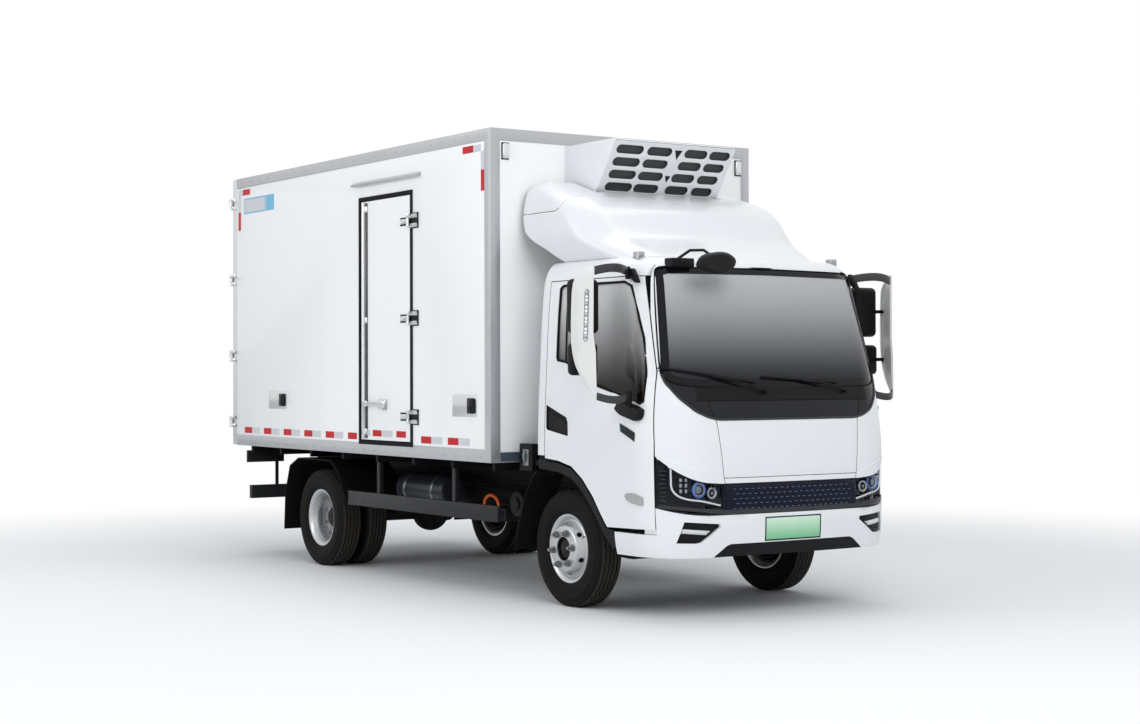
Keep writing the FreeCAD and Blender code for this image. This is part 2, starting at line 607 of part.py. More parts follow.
def rear_frame():
    """Steel portal round the rear doors, with hinge lugs at its corners and keepers for the lock rods."""
    outer = box(BOX_REAR_X, BOX_REAR_X + WALL + 2, -BOX_HALF, BOX_HALF, BOX_BOTTOM, BOX_TOP)
    hole = box(BOX_REAR_X - 10, BOX_REAR_X + WALL + 20, -BOX_HALF + REAR_POST, BOX_HALF - REAR_POST,
               BOX_BOTTOM + FLOOR_THICKNESS, BOX_TOP - REAR_POST)
    parts = [outer.cut(hole)]
    for side in (-1, 1):
        pin_x, pin_y = hinge_line(side)
        for z in REAR_HINGE_HEIGHTS:
            for end in (-1, 1):
                low = z + end * 34 - 14
                y_in = side * (BOX_HALF - 4)
                parts.append(box(pin_x, BOX_REAR_X + 40, min(y_in, pin_y + side * 6), max(y_in, pin_y + side * 6),
                                 low, low + 28))
                parts.append(rod((pin_x, pin_y, low), (pin_x, pin_y, low + 28), HINGE_PIN + 6))
            parts.append(rod((pin_x, pin_y, z - 48), (pin_x, pin_y, z + 48), HINGE_PIN))
    return fused(parts)


REAR_CENTRE_GAP = 14.0
REAR_EDGE_GAP = 6.0


def rear_door(side):
    """One rear door leaf with its hinge straps and two lock rods."""
    free = side * REAR_CENTRE_GAP / 2.0
    edge = side * (BOX_HALF - REAR_POST - REAR_EDGE_GAP)
    low = BOX_BOTTOM + FLOOR_THICKNESS + 8.0
    high = BOX_TOP - REAR_POST - 8.0
    leaf = box(BOX_REAR_X, BOX_REAR_X + WALL, min(free, edge), max(free, edge), low, high)
    parts = [leaf]
    pin_x, pin_y = hinge_line(side)
    for z in REAR_HINGE_HEIGHTS:
        inner = side * (BOX_HALF - REAR_POST - 180)
        parts.append(box(BOX_REAR_X - 16, BOX_REAR_X, min(inner, edge), max(inner, edge), z - 18, z + 18))
        parts.append(box(BOX_REAR_X - 16, BOX_REAR_X - 6, min(inner, pin_y), max(inner, pin_y), z - 18, z + 18))
        parts.append(rod((pin_x, pin_y, z - 18), (pin_x, pin_y, z + 18), HINGE_PIN + 6))
    for place in (0.16, 0.62):
        y = side * place * BOX_HALF
        bar_x = BOX_REAR_X - 12.0
        parts.append(rod((bar_x, y, low + 10), (bar_x, y, high - 10), 9.0))
        for z in (low + 70, 1500.0, 2200.0, high - 70):
            parts.append(box(BOX_REAR_X - DOOR_PROUD, BOX_REAR_X, y - 26, y + 26, z - 20, z + 20))
        lever = side * (place + 0.22) * BOX_HALF
        parts.append(box(BOX_REAR_X - DOOR_PROUD, BOX_REAR_X - DOOR_PROUD + 10, min(y, lever), max(y, lever), 1360, 1384))
    door = fused(parts)
    bores = [rod((pin_x, pin_y, z - 60), (pin_x, pin_y, z + 60), HINGE_PIN + 0.4) for z in REAR_HINGE_HEIGHTS]
    return door.cut(Part.makeCompound(bores))


# Cooling unit

REEFER_HALF = 518.0
REEFER_TOP = 3096.0


def reefer_outline():
    """Side view of the cooling unit: flat top, and a front face that leans back below."""
    wall = BOX_FRONT_X
    return [(wall, REEFER_TOP), (fa(-18), REEFER_TOP), (fa(0), 3086), (fa(-30), 3040), (fa(-205), 2783),
            (fa(-330), 2606), (fa(-360), 2585), (wall, 2580)]


SLOT_PITCH = 96.0
SLOT_HEIGHT = 64.0
SLOT_ROWS = 4
# Middle, length and shift from row to row of each column of slots
SLOT_COLUMNS = ((-368.0, 222.0, 6.0), (-119.0, 206.0, 0.0), (192.0, 194.0, -16.0), (400.0, 176.0, -12.0))


def reefer_face():
    """A point high on the leaning face, its direction down the face and its outward normal."""
    top = Vector(fa(-30), 0, 3040)
    down = (Vector(fa(-205), 0, 2783) - top).normalize()
    return top, down, Vector(-down.z, 0, down.x)


def slot_wire(centre, down, length):
    """Closed outline of a slot with round ends that lies across the truck."""
    r = SLOT_HEIGHT / 2.0
    reach = length / 2.0 - r
    left = centre + Vector(0, reach, 0)
    right = centre - Vector(0, reach, 0)
    low, high = down * r, down * -r
    edges = [Part.LineSegment(right + high, left + high).toShape(),
             Part.Arc(left + high, left + Vector(0, r, 0), left + low).toShape(),
             Part.LineSegment(left + low, right + low).toShape(),
             Part.Arc(right + low, right - Vector(0, r, 0), right + high).toShape()]
    return Part.Wire(edges)


def reefer_unit():
    """Cooling unit on the box's front wall, with rows of round-ended slots in its leaning face."""
    body = side_prism(reefer_outline(), -REEFER_HALF, REEFER_HALF)
    top, down, out = reefer_face()
    slots = []
    for row in range(SLOT_ROWS):
        for middle, length, shift in SLOT_COLUMNS:
            centre = top + down * (12.0 + SLOT_PITCH * row) + Vector(0, middle + shift * row, 0) + out * 20.0
            slots.append(Part.Face(slot_wire(centre, down, length)).extrude(out * -42.0))
    for place, y, size in ((-7.0, 4.0, 72.0), (193.0, 2.0, 52.0)):
        corner = top + down * place + Vector(0, y, 0) + out * 20.0
        points = [corner, corner + Vector(0, size * 0.9, 0), corner + down * size + Vector(0, size * 0.55, 0)]
        slots.append(Part.Face(Part.makePolygon(points + [corner])).extrude(out * -42.0))
    return body.cut(Part.makeCompound(slots))


# Cab form

# Plan sections of the cab's outer skin: height, front, half width, front corner radius
CAB_SECTIONS = [
    (395.0, 1168.0, 952.0, 330.0),
    (480.0, 1182.0, 970.0, 350.0),
    (650.0, 1190.0, 979.0, 360.0),
    (880.0, 1190.0, 980.0, 360.0),
    (1240.0, 1163.0, 978.0, 350.0),
    (1530.0, 1092.0, 965.0, 330.0),
    (2050.0, 940.0, 932.0, 310.0),
    (2180.0, 893.0, 905.0, 300.0),
    (2236.0, 840.0, 868.0, 285.0),
    (2262.0, 752.0, 800.0, 260.0),
]


def plan_wire(z, front, half, corner, rear, inset):
    """Closed plan outline: bowed front, rounded front corners, straight sides, small rear corners."""
    front = front - inset
    half = half - inset
    corner = corner - inset
    rear = rear + inset
    bow = CAB_BOW_RADIUS - inset
    bow_x = front - bow
    reach = bow - corner
    corner_x = bow_x + math.sqrt(reach * reach - (half - corner) ** 2)
    rear_r = max(60.0 - inset, 8.0)

    def at(x, y):
        return Vector(fa(x), y, z)

    def on_bow(side):
        dx = corner_x - bow_x
        dy = side * (half - corner)
        size = math.hypot(dx, dy)
        return bow_x + bow * dx / size, bow * dy / size

    def corner_mid(side):
        bx, by = on_bow(side)
        a0 = math.atan2(by - side * (half - corner), bx - corner_x)
        a1 = side * math.pi / 2.0
        mid = (a0 + a1) / 2.0
        return corner_x + corner * math.cos(mid), side * (half - corner) + corner * math.sin(mid)

    rx, ry = on_bow(-1)
    lx, ly = on_bow(1)
    rmx, rmy = corner_mid(-1)
    lmx, lmy = corner_mid(1)
    s = math.sqrt(0.5)
    edges = [
        Part.LineSegment(at(rear, half - rear_r), at(rear, -half + rear_r)).toShape(),
        Part.Arc(at(rear, -half + rear_r), at(rear + rear_r * (1 - s), -half + rear_r * (1 - s)),
                 at(rear + rear_r, -half)).toShape(),
        Part.LineSegment(at(rear + rear_r, -half), at(corner_x, -half)).toShape(),
        Part.Arc(at(corner_x, -half), at(rmx, rmy), at(rx, ry)).toShape(),
        Part.Arc(at(rx, ry), at(front, 0), at(lx, ly)).toShape(),
        Part.Arc(at(lx, ly), at(lmx, lmy), at(corner_x, half)).toShape(),
        Part.LineSegment(at(corner_x, half), at(rear + rear_r, half)).toShape(),
        Part.Arc(at(rear + rear_r, half), at(rear + rear_r * (1 - s), half - rear_r * (1 - s)),
                 at(rear, half - rear_r)).toShape(),
    ]
    return Part.Wire(edges)


def cab_form(inset, drop=0.0):
    """The cab's outer form, brought in all round by a distance and lowered at its top."""
    wires = []
    last = len(CAB_SECTIONS) - 1
    for i, (z, front, half, corner) in enumerate(CAB_SECTIONS):
        height = z - (drop if i >= last - 2 else 0.0)
        if i == 0:
            height = z - 1.0 if inset > 0 else z
        wires.append(plan_wire(height, front, half, corner, CAB_REAR, inset))
    return Part.makeLoft(wires, True, False)


# Side view outlines, from the front axle
DOOR_OUTLINE = [(-160, 2128), (782, 2128), (846, 1900), (945, 1533), (974, 1100), (984, 570), (540, 560), (470, 640),
                (385, 745), (270, 850), (146, 925), (0, 955), (-160, 968)]
DOOR_WINDOW = [(-40, 2080), (-10, 2098), (655, 2098), (715, 2070), (845, 1745), (893, 1520), (893, 1352), (870, 1338),
               (400, 1452), (200, 1545), (60, 1600), (-30, 1610), (-40, 1630)]
DOOR_RECESS = [(-148, 1318), (88, 1240), (104, 1205), (109, 1118), (-132, 1154), (-146, 1170)]


def grown(outline, gap):
    """An outline moved outward by a gap, corner by corner."""
    result = []
    count = len(outline)
    area = sum(outline[i][0] * outline[(i + 1) % count][1] - outline[(i + 1) % count][0] * outline[i][1]
               for i in range(count))
    turn = 1.0 if area > 0 else -1.0
    for i in range(count):
        px, pz = outline[i - 1]
        cx, cz = outline[i]
        nx, nz = outline[(i + 1) % count]
        a = (cx - px, cz - pz)
        b = (nx - cx, nz - cz)
        la = math.hypot(*a)
        lb = math.hypot(*b)
        n1 = (turn * a[1] / la, -turn * a[0] / la)
        n2 = (turn * b[1] / lb, -turn * b[0] / lb)
        k = gap / (1.0 + n1[0] * n2[0] + n1[1] * n2[1])
        result.append((cx + k * (n1[0] + n2[0]), cz + k * (n1[1] + n2[1])))
    return result


def from_axle(outline):
    """Side view points moved from the front axle to the truck's own place."""
    return [(fa(x), z) for x, z in outline]


def half_space(outline):
    """A side view outline as a block right across the truck."""
    return side_prism(from_axle(outline), -1400, 1400)


FRONT_REGION = [(790 + DOOR_GAP, 2200), (846 + DOOR_GAP, 1900), (945 + DOOR_GAP, 1533), (974 + DOOR_GAP, 1100),
                (977 + DOOR_GAP, 1017.3), (1172, 847.3), (1300, 845.3), (1300, 2200)]
BAND_REGION = [(977 + DOOR_GAP, 1017), (1172, 847), (1300, 845), (1300, 652.3), (1164, 652.3), (979 + DOOR_GAP, 700.3)]
LOW_REGION = [(979 + DOOR_GAP, 700), (1164, 652), (1300, 652), (1300, 380), (617, 380), (617, 536),
              (984 + DOOR_GAP, 536)]
ROOF_REGION = [(-400, 2134), (782 + DOOR_GAP, 2134), (782 + DOOR_GAP, 2200.3), (1300, 2200.3), (1300, 2400),
               (-400, 2400)]
REAR_REGION = [(-400, 985), (-160 - DOOR_GAP, 985), (-160 - DOOR_GAP, 2133.7), (-400, 2133.7)]

# Front view outlines, half of each; the other half is its mirror image
GLASS_FOOT = [(874, 1527), (866, 1503), (842, 1476), (800, 1457), (735, 1445), (640, 1440)]
GLASS_HEAD = [(0, 2196), (740, 2190), (790, 2176), (806, 2150)]
COWL_FOOT = [(570, 1240), (640, 1256), (720, 1292), (800, 1365), (848, 1440)]
WINDSCREEN = [(-y, z) for y, z in GLASS_HEAD[:0:-1]] + GLASS_HEAD + GLASS_FOOT
WINDSCREEN += [(-y, z) for y, z in GLASS_FOOT[::-1]]
COWL = [(-y, z) for y, z in GLASS_FOOT] + GLASS_FOOT[::-1] + COWL_FOOT[::-1] + [(-y, z) for y, z in COWL_FOOT]
HOOD_SIDE = [(584, 1262), (545, 880), (535, 836)]
HOOD_FOOT = [(-545, 880), (545, 880)]
PILLAR_SEAM = [(862, 1541), (1000, 1541)]
SKIRT = [(-489, 473), (489, 473), (520, 462), (630, 380), (-630, 380), (-520, 462)]
FOG_RECESS = [(808, 618), (575, 600), (570, 582), (700, 492), (730, 485), (844, 488)]


def cab_shell():
    """The cab's skin as one closed wall, to be split where the real panels meet."""
    outer = cab_form(0.0)
    inner = cab_form(CAB_WALL, CAB_WALL)
    return outer, outer.cut(inner)


def skin_between(near, far):
    """A thin layer of the cab's form between two insets."""
    return cab_form(near, near).cut(cab_form(far, far))


def seam(outline):
    """Thin upright strips along an open front view line, to be cut as a groove."""
    strips = []
    for (ya, za), (yb, zb) in zip(outline, outline[1:]):
        run = math.hypot(yb - ya, zb - za)
        ny, nz = -(zb - za) / run * SEAM / 2.0, (yb - ya) / run * SEAM / 2.0
        strips.append(front_prism([(ya + ny, za + nz), (yb + ny, zb + nz), (yb - ny, zb - nz), (ya - ny, za - nz)],
                                  fa(700), fa(1300)))
    return strips


def cab_front(shell):
    """Front panel with the windscreen pillars and header, its hood and pillar seams as grooves."""
    panel = shell.common(half_space(FRONT_REGION))
    panel = panel.cut(front_prism(WINDSCREEN, fa(250), fa(1400)))
    panel = panel.cut(front_prism(COWL, fa(250), fa(1400)))
    strips = seam(HOOD_FOOT)
    for side in (-1, 1):
        for line in (HOOD_SIDE, PILLAR_SEAM):
            strips += seam([(side * y, z) for y, z in line])
    grooves = Part.makeCompound(strips).cut(cab_form(SEAM_DEPTH))
    return panel.cut(grooves)


def cab_roof(shell):
    """Roof panel down to the tops of the doors."""
    return shell.common(half_space(ROOF_REGION))


def cab_rear(shell):
    """Back wall with the rear quarter panels behind the doors."""
    return shell.common(half_space(REAR_REGION))


def seal_space():
    """Room at the doors' front edges that the floor and the dashboard leave for their swing."""
    layer = cab_form(CAB_WALL - 1.0).cut(cab_form(CAB_WALL + SEAL_SPACE, CAB_WALL))
    front = box(fa(SEAL_START), fa(1000), -1400, 1400, 0, BIG)
    return layer.common(side_prism(from_axle(grown(DOOR_OUTLINE, DOOR_GAP)), -1400, 1400)).common(front)


def cab_floor(clear):
    """Floor pan out to the doors' inner faces: raised over the wheels, low in the footwell, with hinge arms."""
    top = [(-260, 1018), (300, 1018), (470, 806), (900, 806), (925, 860), (925, 1232), (1140, 1232)]
    low = [(1140, 1208), (950, 1208), (950, 860), (935, 772), (452, 772), (282, CAB_FLOOR_LOW), (-260, CAB_FLOOR_LOW)]
    pan = side_prism(from_axle(top + low), -1400, 1400)
    pan = pan.common(cab_form(CAB_WALL + 0.3, CAB_WALL)).cut(clear)
    parts = [pan]
    for side in (-1, 1):
        y = side * (RAIL_OUTER + 45)
        arm = side_prism(from_axle([(700, 780), (930, 780), (1010, 520), (1005, 470), (955, 470), (945, 520),
                                    (840, 700), (700, 740)]), y - 16, y + 16)
        parts.append(arm)
    floor = fused(parts)
    pivot = rod((fa(TILT_PIVOT_X), -700, TILT_PIVOT_Z), (fa(TILT_PIVOT_X), 700, TILT_PIVOT_Z), TILT_TUBE_RADIUS + 0.4)
    return floor.cut(pivot)


def windscreen():
    """Laminated windscreen, a curved sheet in its opening."""
    sheet = skin_between(6.0, 6.0 + GLASS).common(front_prism(WINDSCREEN, fa(250), fa(1400)))
    return sheet.common(half_space(FRONT_REGION))


def cowl_panel():
    """Dark panel under the windscreen, from pillar to pillar."""
    panel = skin_between(2.0, 26.0).common(front_prism(COWL, fa(250), fa(1400)))
    return panel.common(half_space(FRONT_REGION))


def lamp_band():
    """Wall of the dark band between hood and bumper."""
    return cab_form(4.0, 4.0).cut(cab_form(64.0, 64.0)).common(half_space(BAND_REGION))


PROJECTORS = ((714.0, 810.0, 31.0), (628.0, 792.0, 21.0))


def lamp_ends(shape):
    """The two outer stretches of a shape, beyond the grille."""
    right = shape.common(box(-BIG, BIG, -1200, -535.3, 0, 3000))
    left = shape.common(box(-BIG, BIG, 535.3, 1200, 0, 3000))
    return right.Solids + left.Solids


def lamp_lenses(band):
    """Clear cover of each lamp, a curved sheet flush with the band."""
    return Part.makeCompound(lamp_ends(band.cut(cab_form(4.0 + LENS, 4.0 + LENS))))


def headlamps(band):
    """Lamp housing at each end of the band: an open tray with two round lamps standing in it."""
    solids = lamp_ends(band.common(cab_form(4.0 + LENS, 4.0 + LENS)))
    tray = cab_form(4.0).cut(cab_form(50.0, 50.0)).common(half_space(grown(BAND_REGION, -10.0)))
    result = []
    for solid in solids:
        side = 1.0 if solid.CenterOfMass.y > 0 else -1.0
        hollow = tray.common(box(fa(1000), BIG, min(side * 547, side * 1200), max(side * 547, side * 1200), 0, 3000))
        body = solid.cut(hollow)
        barrels = [rod((fa(1010), side * y, z), (fa(1200), side * y, z), r) for y, z, r in PROJECTORS]
        front = cab_form(16.0, 16.0).cut(cab_form(54.0, 54.0))
        result += fused([body] + [b.common(front) for b in barrels]).Solids
    return Part.makeCompound(result)


def grille(band):
    """Grille between the lamps, with rows of staggered slots."""
    panel = band.common(box(fa(1120), BIG, -535, 535, 0, 3000))
    slots = []
    rows = 5
    pitch = 46.0
    for row in range(rows):
        z = 690.0 + row * 30.0
        shift = pitch / 2.0 if row % 2 else 0.0
        count = 21
        for i in range(count):
            y = (i - (count - 1) / 2.0) * pitch + shift
            if abs(y) < 500:
                slots.append(box(fa(1100), fa(1250), y - 14, y + 14, z - 4.5, z + 4.5))
    return panel.cut(Part.makeCompound(slots))


def low_wall():
    """Wall of the bumper and step panels below the band and the doors."""
    return cab_form(0.0).cut(cab_form(34.0)).common(half_space(LOW_REGION))


def recess_prism(side, outline):
    """A fog lamp recess outline pushed through the bumper on one side."""
    return front_prism([(side * y, z) for y, z in outline], fa(900), fa(1300))


def bumper(wall):
    """White bumper with a recess for each fog lamp, running back to the step panels."""
    shape = wall.cut(front_prism(SKIRT, fa(950), fa(1400)))
    for side in (-1, 1):
        shape = shape.cut(recess_prism(side, FOG_RECESS))
    return shape


def bumper_skirt(wall):
    """Black lower centre of the bumper."""
    return wall.common(front_prism(SKIRT, fa(950), fa(1400)))


def fog_lamps():
    """Black insert in each bumper recess, with its lamp bar."""
    layer = cab_form(20.0).cut(cab_form(33.0))
    bar_layer = cab_form(8.0).cut(cab_form(20.5))
    solids = []
    for side in (-1, 1):
        insert = layer.common(recess_prism(side, FOG_RECESS))
        bar = bar_layer.common(recess_prism(side, [(810, 574), (640, 560), (672, 536), (818, 549)]))
        solids += fused([insert.Solids[0], bar.Solids[0]]).Solids
    return Part.makeCompound(solids)


def door_region(side, gap):
    """Block of the door's outline on one side, made smaller by a gap."""
    outline = grown(DOOR_OUTLINE, -gap)
    y0, y1 = (600, 1400) if side > 0 else (-1400, -600)
    return side_prism(from_axle(outline), y0, y1)


def window_prism(side):
    """Block of the door window's outline on one side."""
    y0, y1 = (600, 1400) if side > 0 else (-1400, -600)
    return side_prism(from_axle(DOOR_WINDOW), y0, y1)


def cab_door(shell, side):
    """Door with its window cut out, a recess at its rear edge and a foot that follows the wheel arch."""
    door = shell.common(door_region(side, 0)).cut(window_prism(side))
    y0, y1 = (600, 1400) if side > 0 else (-1400, -600)
    return door.cut(side_prism(from_axle(DOOR_RECESS), y0, y1).cut(cab_form(12.0)))


def door_glass(side):
    """Side window, a curved sheet in the door."""
    return skin_between(9.0, 9.0 + GLASS).common(window_prism(side))


def arch_flare(side):
    """Dark liner along the wheel arch, from the cab's rear to the step."""
    outer = [(-262, 955), (0, 938), (140, 908), (258, 838), (370, 735), (456, 628), (520, 553), (616.7, 540)]
    inner = [(616.7, 430), (575, 430), (500, 500), (432, 590), (346, 690), (245, 782), (140, 846), (0, 880), (-262, 898)]
    y0, y1 = (740, 1000) if side > 0 else (-1000, -740)
    band = side_prism(from_axle(outer + inner), y0, y1)
    hanger = box(fa(-200), fa(-150), min(side * 780, side * 850), max(side * 780, side * 850), 900, CAB_FLOOR_LOW)
    return fused([band.common(cab_form(4.0, 4.0)), hanger])


# Fairing, mirrors and lamps

# Plan sections of the fairing: height, front, half width, rear, corner radius
FAIRING_SECTIONS = [
    (2263.0, 655.0, 822.0, -190.0, 280.0),
    (2300.0, 585.0, 848.0, -255.0, 285.0),
    (2350.0, 478.0, 876.0, -330.0, 285.0),
    (2410.0, 362.0, 897.0, -450.0, 275.0),
    (2480.0, 290.0, 905.0, -550.0, 262.0),
    (2575.0, 205.0, 905.0, -576.0, 250.0),
    (2640.0, 125.0, 898.0, -579.0, 235.0),
    (2690.0, 25.0, 888.0, -580.0, 210.0),
    (2730.0, -100.0, 878.0, -580.0, 180.0),
    (2765.0, -225.0, 862.0, -580.0, 140.0),
    (2800.0, -330.0, 812.0, -578.0, 90.0),
    (2832.0, -430.0, 735.0, -575.0, 40.0),
]
FAIRING_LAYERS = 17
FAIRING_BOW = 5600.0


def slopes_of(heights, values):
    """Slopes at each key place that keep a curve through the keys from overshooting."""
    steps = [(values[i + 1] - values[i]) / (heights[i + 1] - heights[i]) for i in range(len(heights) - 1)]
    slopes = [steps[0]]
    for before, after in zip(steps, steps[1:]):
        same = before * after > 0
        slopes.append(2.0 * before * after / (before + after) if same else 0.0)
    slopes.append(steps[-1])
    return slopes


def curve_value(heights, values, slopes, z):
    """Value of the smooth curve through the keys at one height."""
    i = 0
    while i < len(heights) - 2 and z > heights[i + 1]:
        i += 1
    span = heights[i + 1] - heights[i]
    t = (z - heights[i]) / span
    h00 = 2 * t ** 3 - 3 * t ** 2 + 1
    h10 = t ** 3 - 2 * t ** 2 + t
    h01 = -2 * t ** 3 + 3 * t ** 2
    h11 = t ** 3 - t ** 2
    return (h00 * values[i] + h10 * span * slopes[i] + h01 * values[i + 1] + h11 * span * slopes[i + 1])


def fairing_layers():
    """Evenly spaced plan sections on smooth curves through the key sections."""
    heights = [row[0] for row in FAIRING_SECTIONS]
    columns = [[row[k] for row in FAIRING_SECTIONS] for k in range(1, 5)]
    slopes = [slopes_of(heights, column) for column in columns]
    layers = []
    for i in range(FAIRING_LAYERS):
        z = heights[0] + (heights[-1] - heights[0]) * i / (FAIRING_LAYERS - 1)
        layers.append([z] + [curve_value(heights, c, m, z) for c, m in zip(columns, slopes)])
    return layers


def fairing_wire(z, front, half, rear, corner, inset):
    """Closed plan outline of the fairing with rounded front and rear corners."""
    front -= inset
    half -= inset
    rear += inset
    corner = max(corner - inset, 12.0)
    back = max(min(60.0, (front - rear) * 0.3) - inset * 0.5, 10.0)
    bow = FAIRING_BOW - inset
    bow_x = front - bow
    reach = bow - corner
    corner_x = bow_x + math.sqrt(reach * reach - (half - corner) ** 2)
    s = math.sqrt(0.5)

    def at(x, y):
        return Vector(fa(x), y, z)

    def touch(side):
        dx = corner_x - bow_x
        dy = side * (half - corner)
        size = math.hypot(dx, dy)
        return bow_x + bow * dx / size, bow * dy / size

    def mid(side):
        tx, ty = touch(side)
        a0 = math.atan2(ty - side * (half - corner), tx - corner_x)
        m = (a0 + side * math.pi / 2.0) / 2.0
        return corner_x + corner * math.cos(m), side * (half - corner) + corner * math.sin(m)

    rx, ry = touch(-1)
    lx, ly = touch(1)
    edges = [
        Part.LineSegment(at(rear, half - back), at(rear, -half + back)).toShape(),
        Part.Arc(at(rear, -half + back), at(rear + back * (1 - s), -half + back * (1 - s)),
                 at(rear + back, -half)).toShape(),
        Part.LineSegment(at(rear + back, -half), at(corner_x, -half)).toShape(),
        Part.Arc(at(corner_x, -half), at(*mid(-1)), at(rx, ry)).toShape(),
        Part.Arc(at(rx, ry), at(front, 0), at(lx, ly)).toShape(),
        Part.Arc(at(lx, ly), at(*mid(1)), at(corner_x, half)).toShape(),
        Part.LineSegment(at(corner_x, half), at(rear + back, half)).toShape(),
        Part.Arc(at(rear + back, half), at(rear + back * (1 - s), half - back * (1 - s)),
                 at(rear, half - back)).toShape(),
    ]
    return Part.Wire(edges)


FAIRING_WALL = 16.0
FAIRING_GAP = 28.0


EAR_SEAM = [(-700, 2598), (-150, 2600), (-112, 2612), (-90, 2640), (-60, 2720), (-20, 2780), (60, 2860)]


def fairing_loft(layers, inset, lower, rear_cut):
    """Solid through the fairing's plan sections, brought in by a distance and lowered at its top."""
    wires = []
    for i, (z, front, half, rear, corner) in enumerate(layers):
        height = z - lower if i == len(layers) - 1 else z
        height = z - 2.0 if i == 0 and inset else height
        wires.append(fairing_wire(height, front, half, rear - rear_cut, corner, inset))
    return Part.makeLoft(wires, True, True)


def fairing():
    """Wind deflector on the cab roof, hollow and open at the back, cut out round the cooling unit."""
    layers = fairing_layers()
    outer = fairing_loft(layers, 0.0, 0.0, 0.0)
    shell = outer.cut(fairing_loft(layers, FAIRING_WALL, FAIRING_WALL, 60.0))
    notch = [(fa(-700), 2585 - FAIRING_GAP), (fa(-345), 2585 - FAIRING_GAP), (fa(-292), 2600),
             (fa(-172), 2775), (fa(46), 3086), (fa(46), 3200), (fa(-700), 3200)]
    shell = shell.cut(side_prism(notch, -REEFER_HALF - FAIRING_GAP, REEFER_HALF + FAIRING_GAP))
    strip = [(x, z + SEAM / 2.0) for x, z in EAR_SEAM] + [(x, z - SEAM / 2.0) for x, z in EAR_SEAM[::-1]]
    ears = side_prism(from_axle(strip), -1000, 1000).cut(box(-BIG, BIG, -640, 640, 0, BIG))
    return shell.cut(ears.cut(fairing_loft(layers, SEAM_DEPTH, SEAM_DEPTH, 0.0)))


def front_mirror():
    """Oblong mirror over the right of the windscreen on a bent tube, looking down at the bumper."""
    bends = [(fa(862), -665, 2236), (fa(900), -592, 2292), (fa(985), -550, 2290), (fa(1082), -548, 2238)]
    parts = [box(fa(820), fa(900), -730, -560, 2190, 2242)]
    for start, end in zip(bends, bends[1:]):
        parts.append(rod(start, end, 9.0))
        parts.append(Part.makeSphere(9.0, Vector(*end)))
    rim = [(-690, 2193), (-632, 2250), (-540, 2272), (-420, 2268), (-376, 2232), (-420, 2168), (-515, 2136),
           (-640, 2152)]
    middle = Vector(fa(1078), -535, 2205)
    tilt = 0.3

    def outline(scale, forward):
        points = [Vector(middle.x + forward - (z - middle.z) * scale * tilt, middle.y + (y - middle.y) * scale,
                         middle.z + (z - middle.z) * scale) for y, z in rim]
        curve = Part.BSplineCurve()
        curve.interpolate(points, PeriodicFlag=True)
        return Part.Wire([curve.toShape()])

    parts.append(Part.makeLoft([outline(0.98, 0), outline(1.0, 10), outline(0.93, 26), outline(0.66, 40)], True, False))
    return fused(parts).cut(cab_form(0.0))


def roof_lamps():
    """Two small lamps on the roof's front corners."""
    solids = []
    for side in (-1, 1):
        solids.append(box(fa(625), fa(680), side * 806 - 26, side * 806 + 26, 2214, 2290)
                      .cut(cab_form(0.0)))
    return Part.makeCompound([s for shape in solids for s in shape.Solids[:1]])


BLADE_REAR = (609.0, 1302.0)
BLADE_CHORD = (0.933, -0.359)
# Outline of the mirror's blade: distance along its chord from the rear, and height
BLADE_OUTLINE = [(125, 2190), (150, 2062), (174, 1900), (184, 1700), (200, 1640), (211, 1600), (211, 1500),
                 (190, 1420), (163, 1362), (105, 1432), (52, 1515), (24, 1600), (6, 1730), (-2, 1903), (-6, 2055),
                 (10, 2118), (52, 2168)]


def arc_band(a, b, c, thickness, z0, z1):
    """Upright band that follows an arc through three plan points."""
    (ax, ay), (bx, by), (cx, cy) = a, b, c
    d = 2.0 * (ax * (by - cy) + bx * (cy - ay) + cx * (ay - by))
    ux = ((ax * ax + ay * ay) * (by - cy) + (bx * bx + by * by) * (cy - ay) + (cx * cx + cy * cy) * (ay - by)) / d
    uy = ((ax * ax + ay * ay) * (cx - bx) + (bx * bx + by * by) * (ax - cx) + (cx * cx + cy * cy) * (bx - ax)) / d

    def off(point, step):
        dx, dy = point[0] - ux, point[1] - uy
        size = math.hypot(dx, dy)
        return Vector(ux + dx * (size + step) / size, uy + dy * (size + step) / size, z0)

    half = thickness / 2.0
    outer = Part.Arc(off(a, half), off(b, half), off(c, half)).toShape()
    inner = Part.Arc(off(c, -half), off(b, -half), off(a, -half)).toShape()
    edges = [outer, Part.LineSegment(off(c, half), off(c, -half)).toShape(), inner,
             Part.LineSegment(off(a, -half), off(a, half)).toShape()]
    return Part.Face(Part.Wire(edges)).extrude(Vector(0, 0, z1 - z0))


def soft_block(x0, x1, y0, y1, z0, z1, radius):
    """A block with all its edges rounded."""
    block = box(x0, x1, y0, y1, z0, z1)
    return block.makeFillet(radius, block.Edges)


def blade():
    """The left mirror's tall curved blade, bulged outwards and rounded along its edge."""
    cx, cy = BLADE_CHORD
    nx, ny = -cy, cx

    def at(s, z, out):
        return Vector(fa(BLADE_REAR[0] + cx * s + nx * out), BLADE_REAR[1] + cy * s + ny * out, z)

    def outline(shrink, out):
        middle_s = 100.0
        points = []
        for s, z in BLADE_OUTLINE:
            ds = middle_s + (s - middle_s) * (1.0 - shrink / 100.0)
            dz = 1776.0 + (z - 1776.0) * (1.0 - shrink / 400.0)
            points.append(at(ds, dz, out))
        curve = Part.BSplineCurve()
        curve.interpolate(points, PeriodicFlag=True)
        return Part.Wire([curve.toShape()])

    return Part.makeLoft([outline(0.0, -22), outline(0.0, -8), outline(7.0, 0), outline(30.0, 6)], True, False)


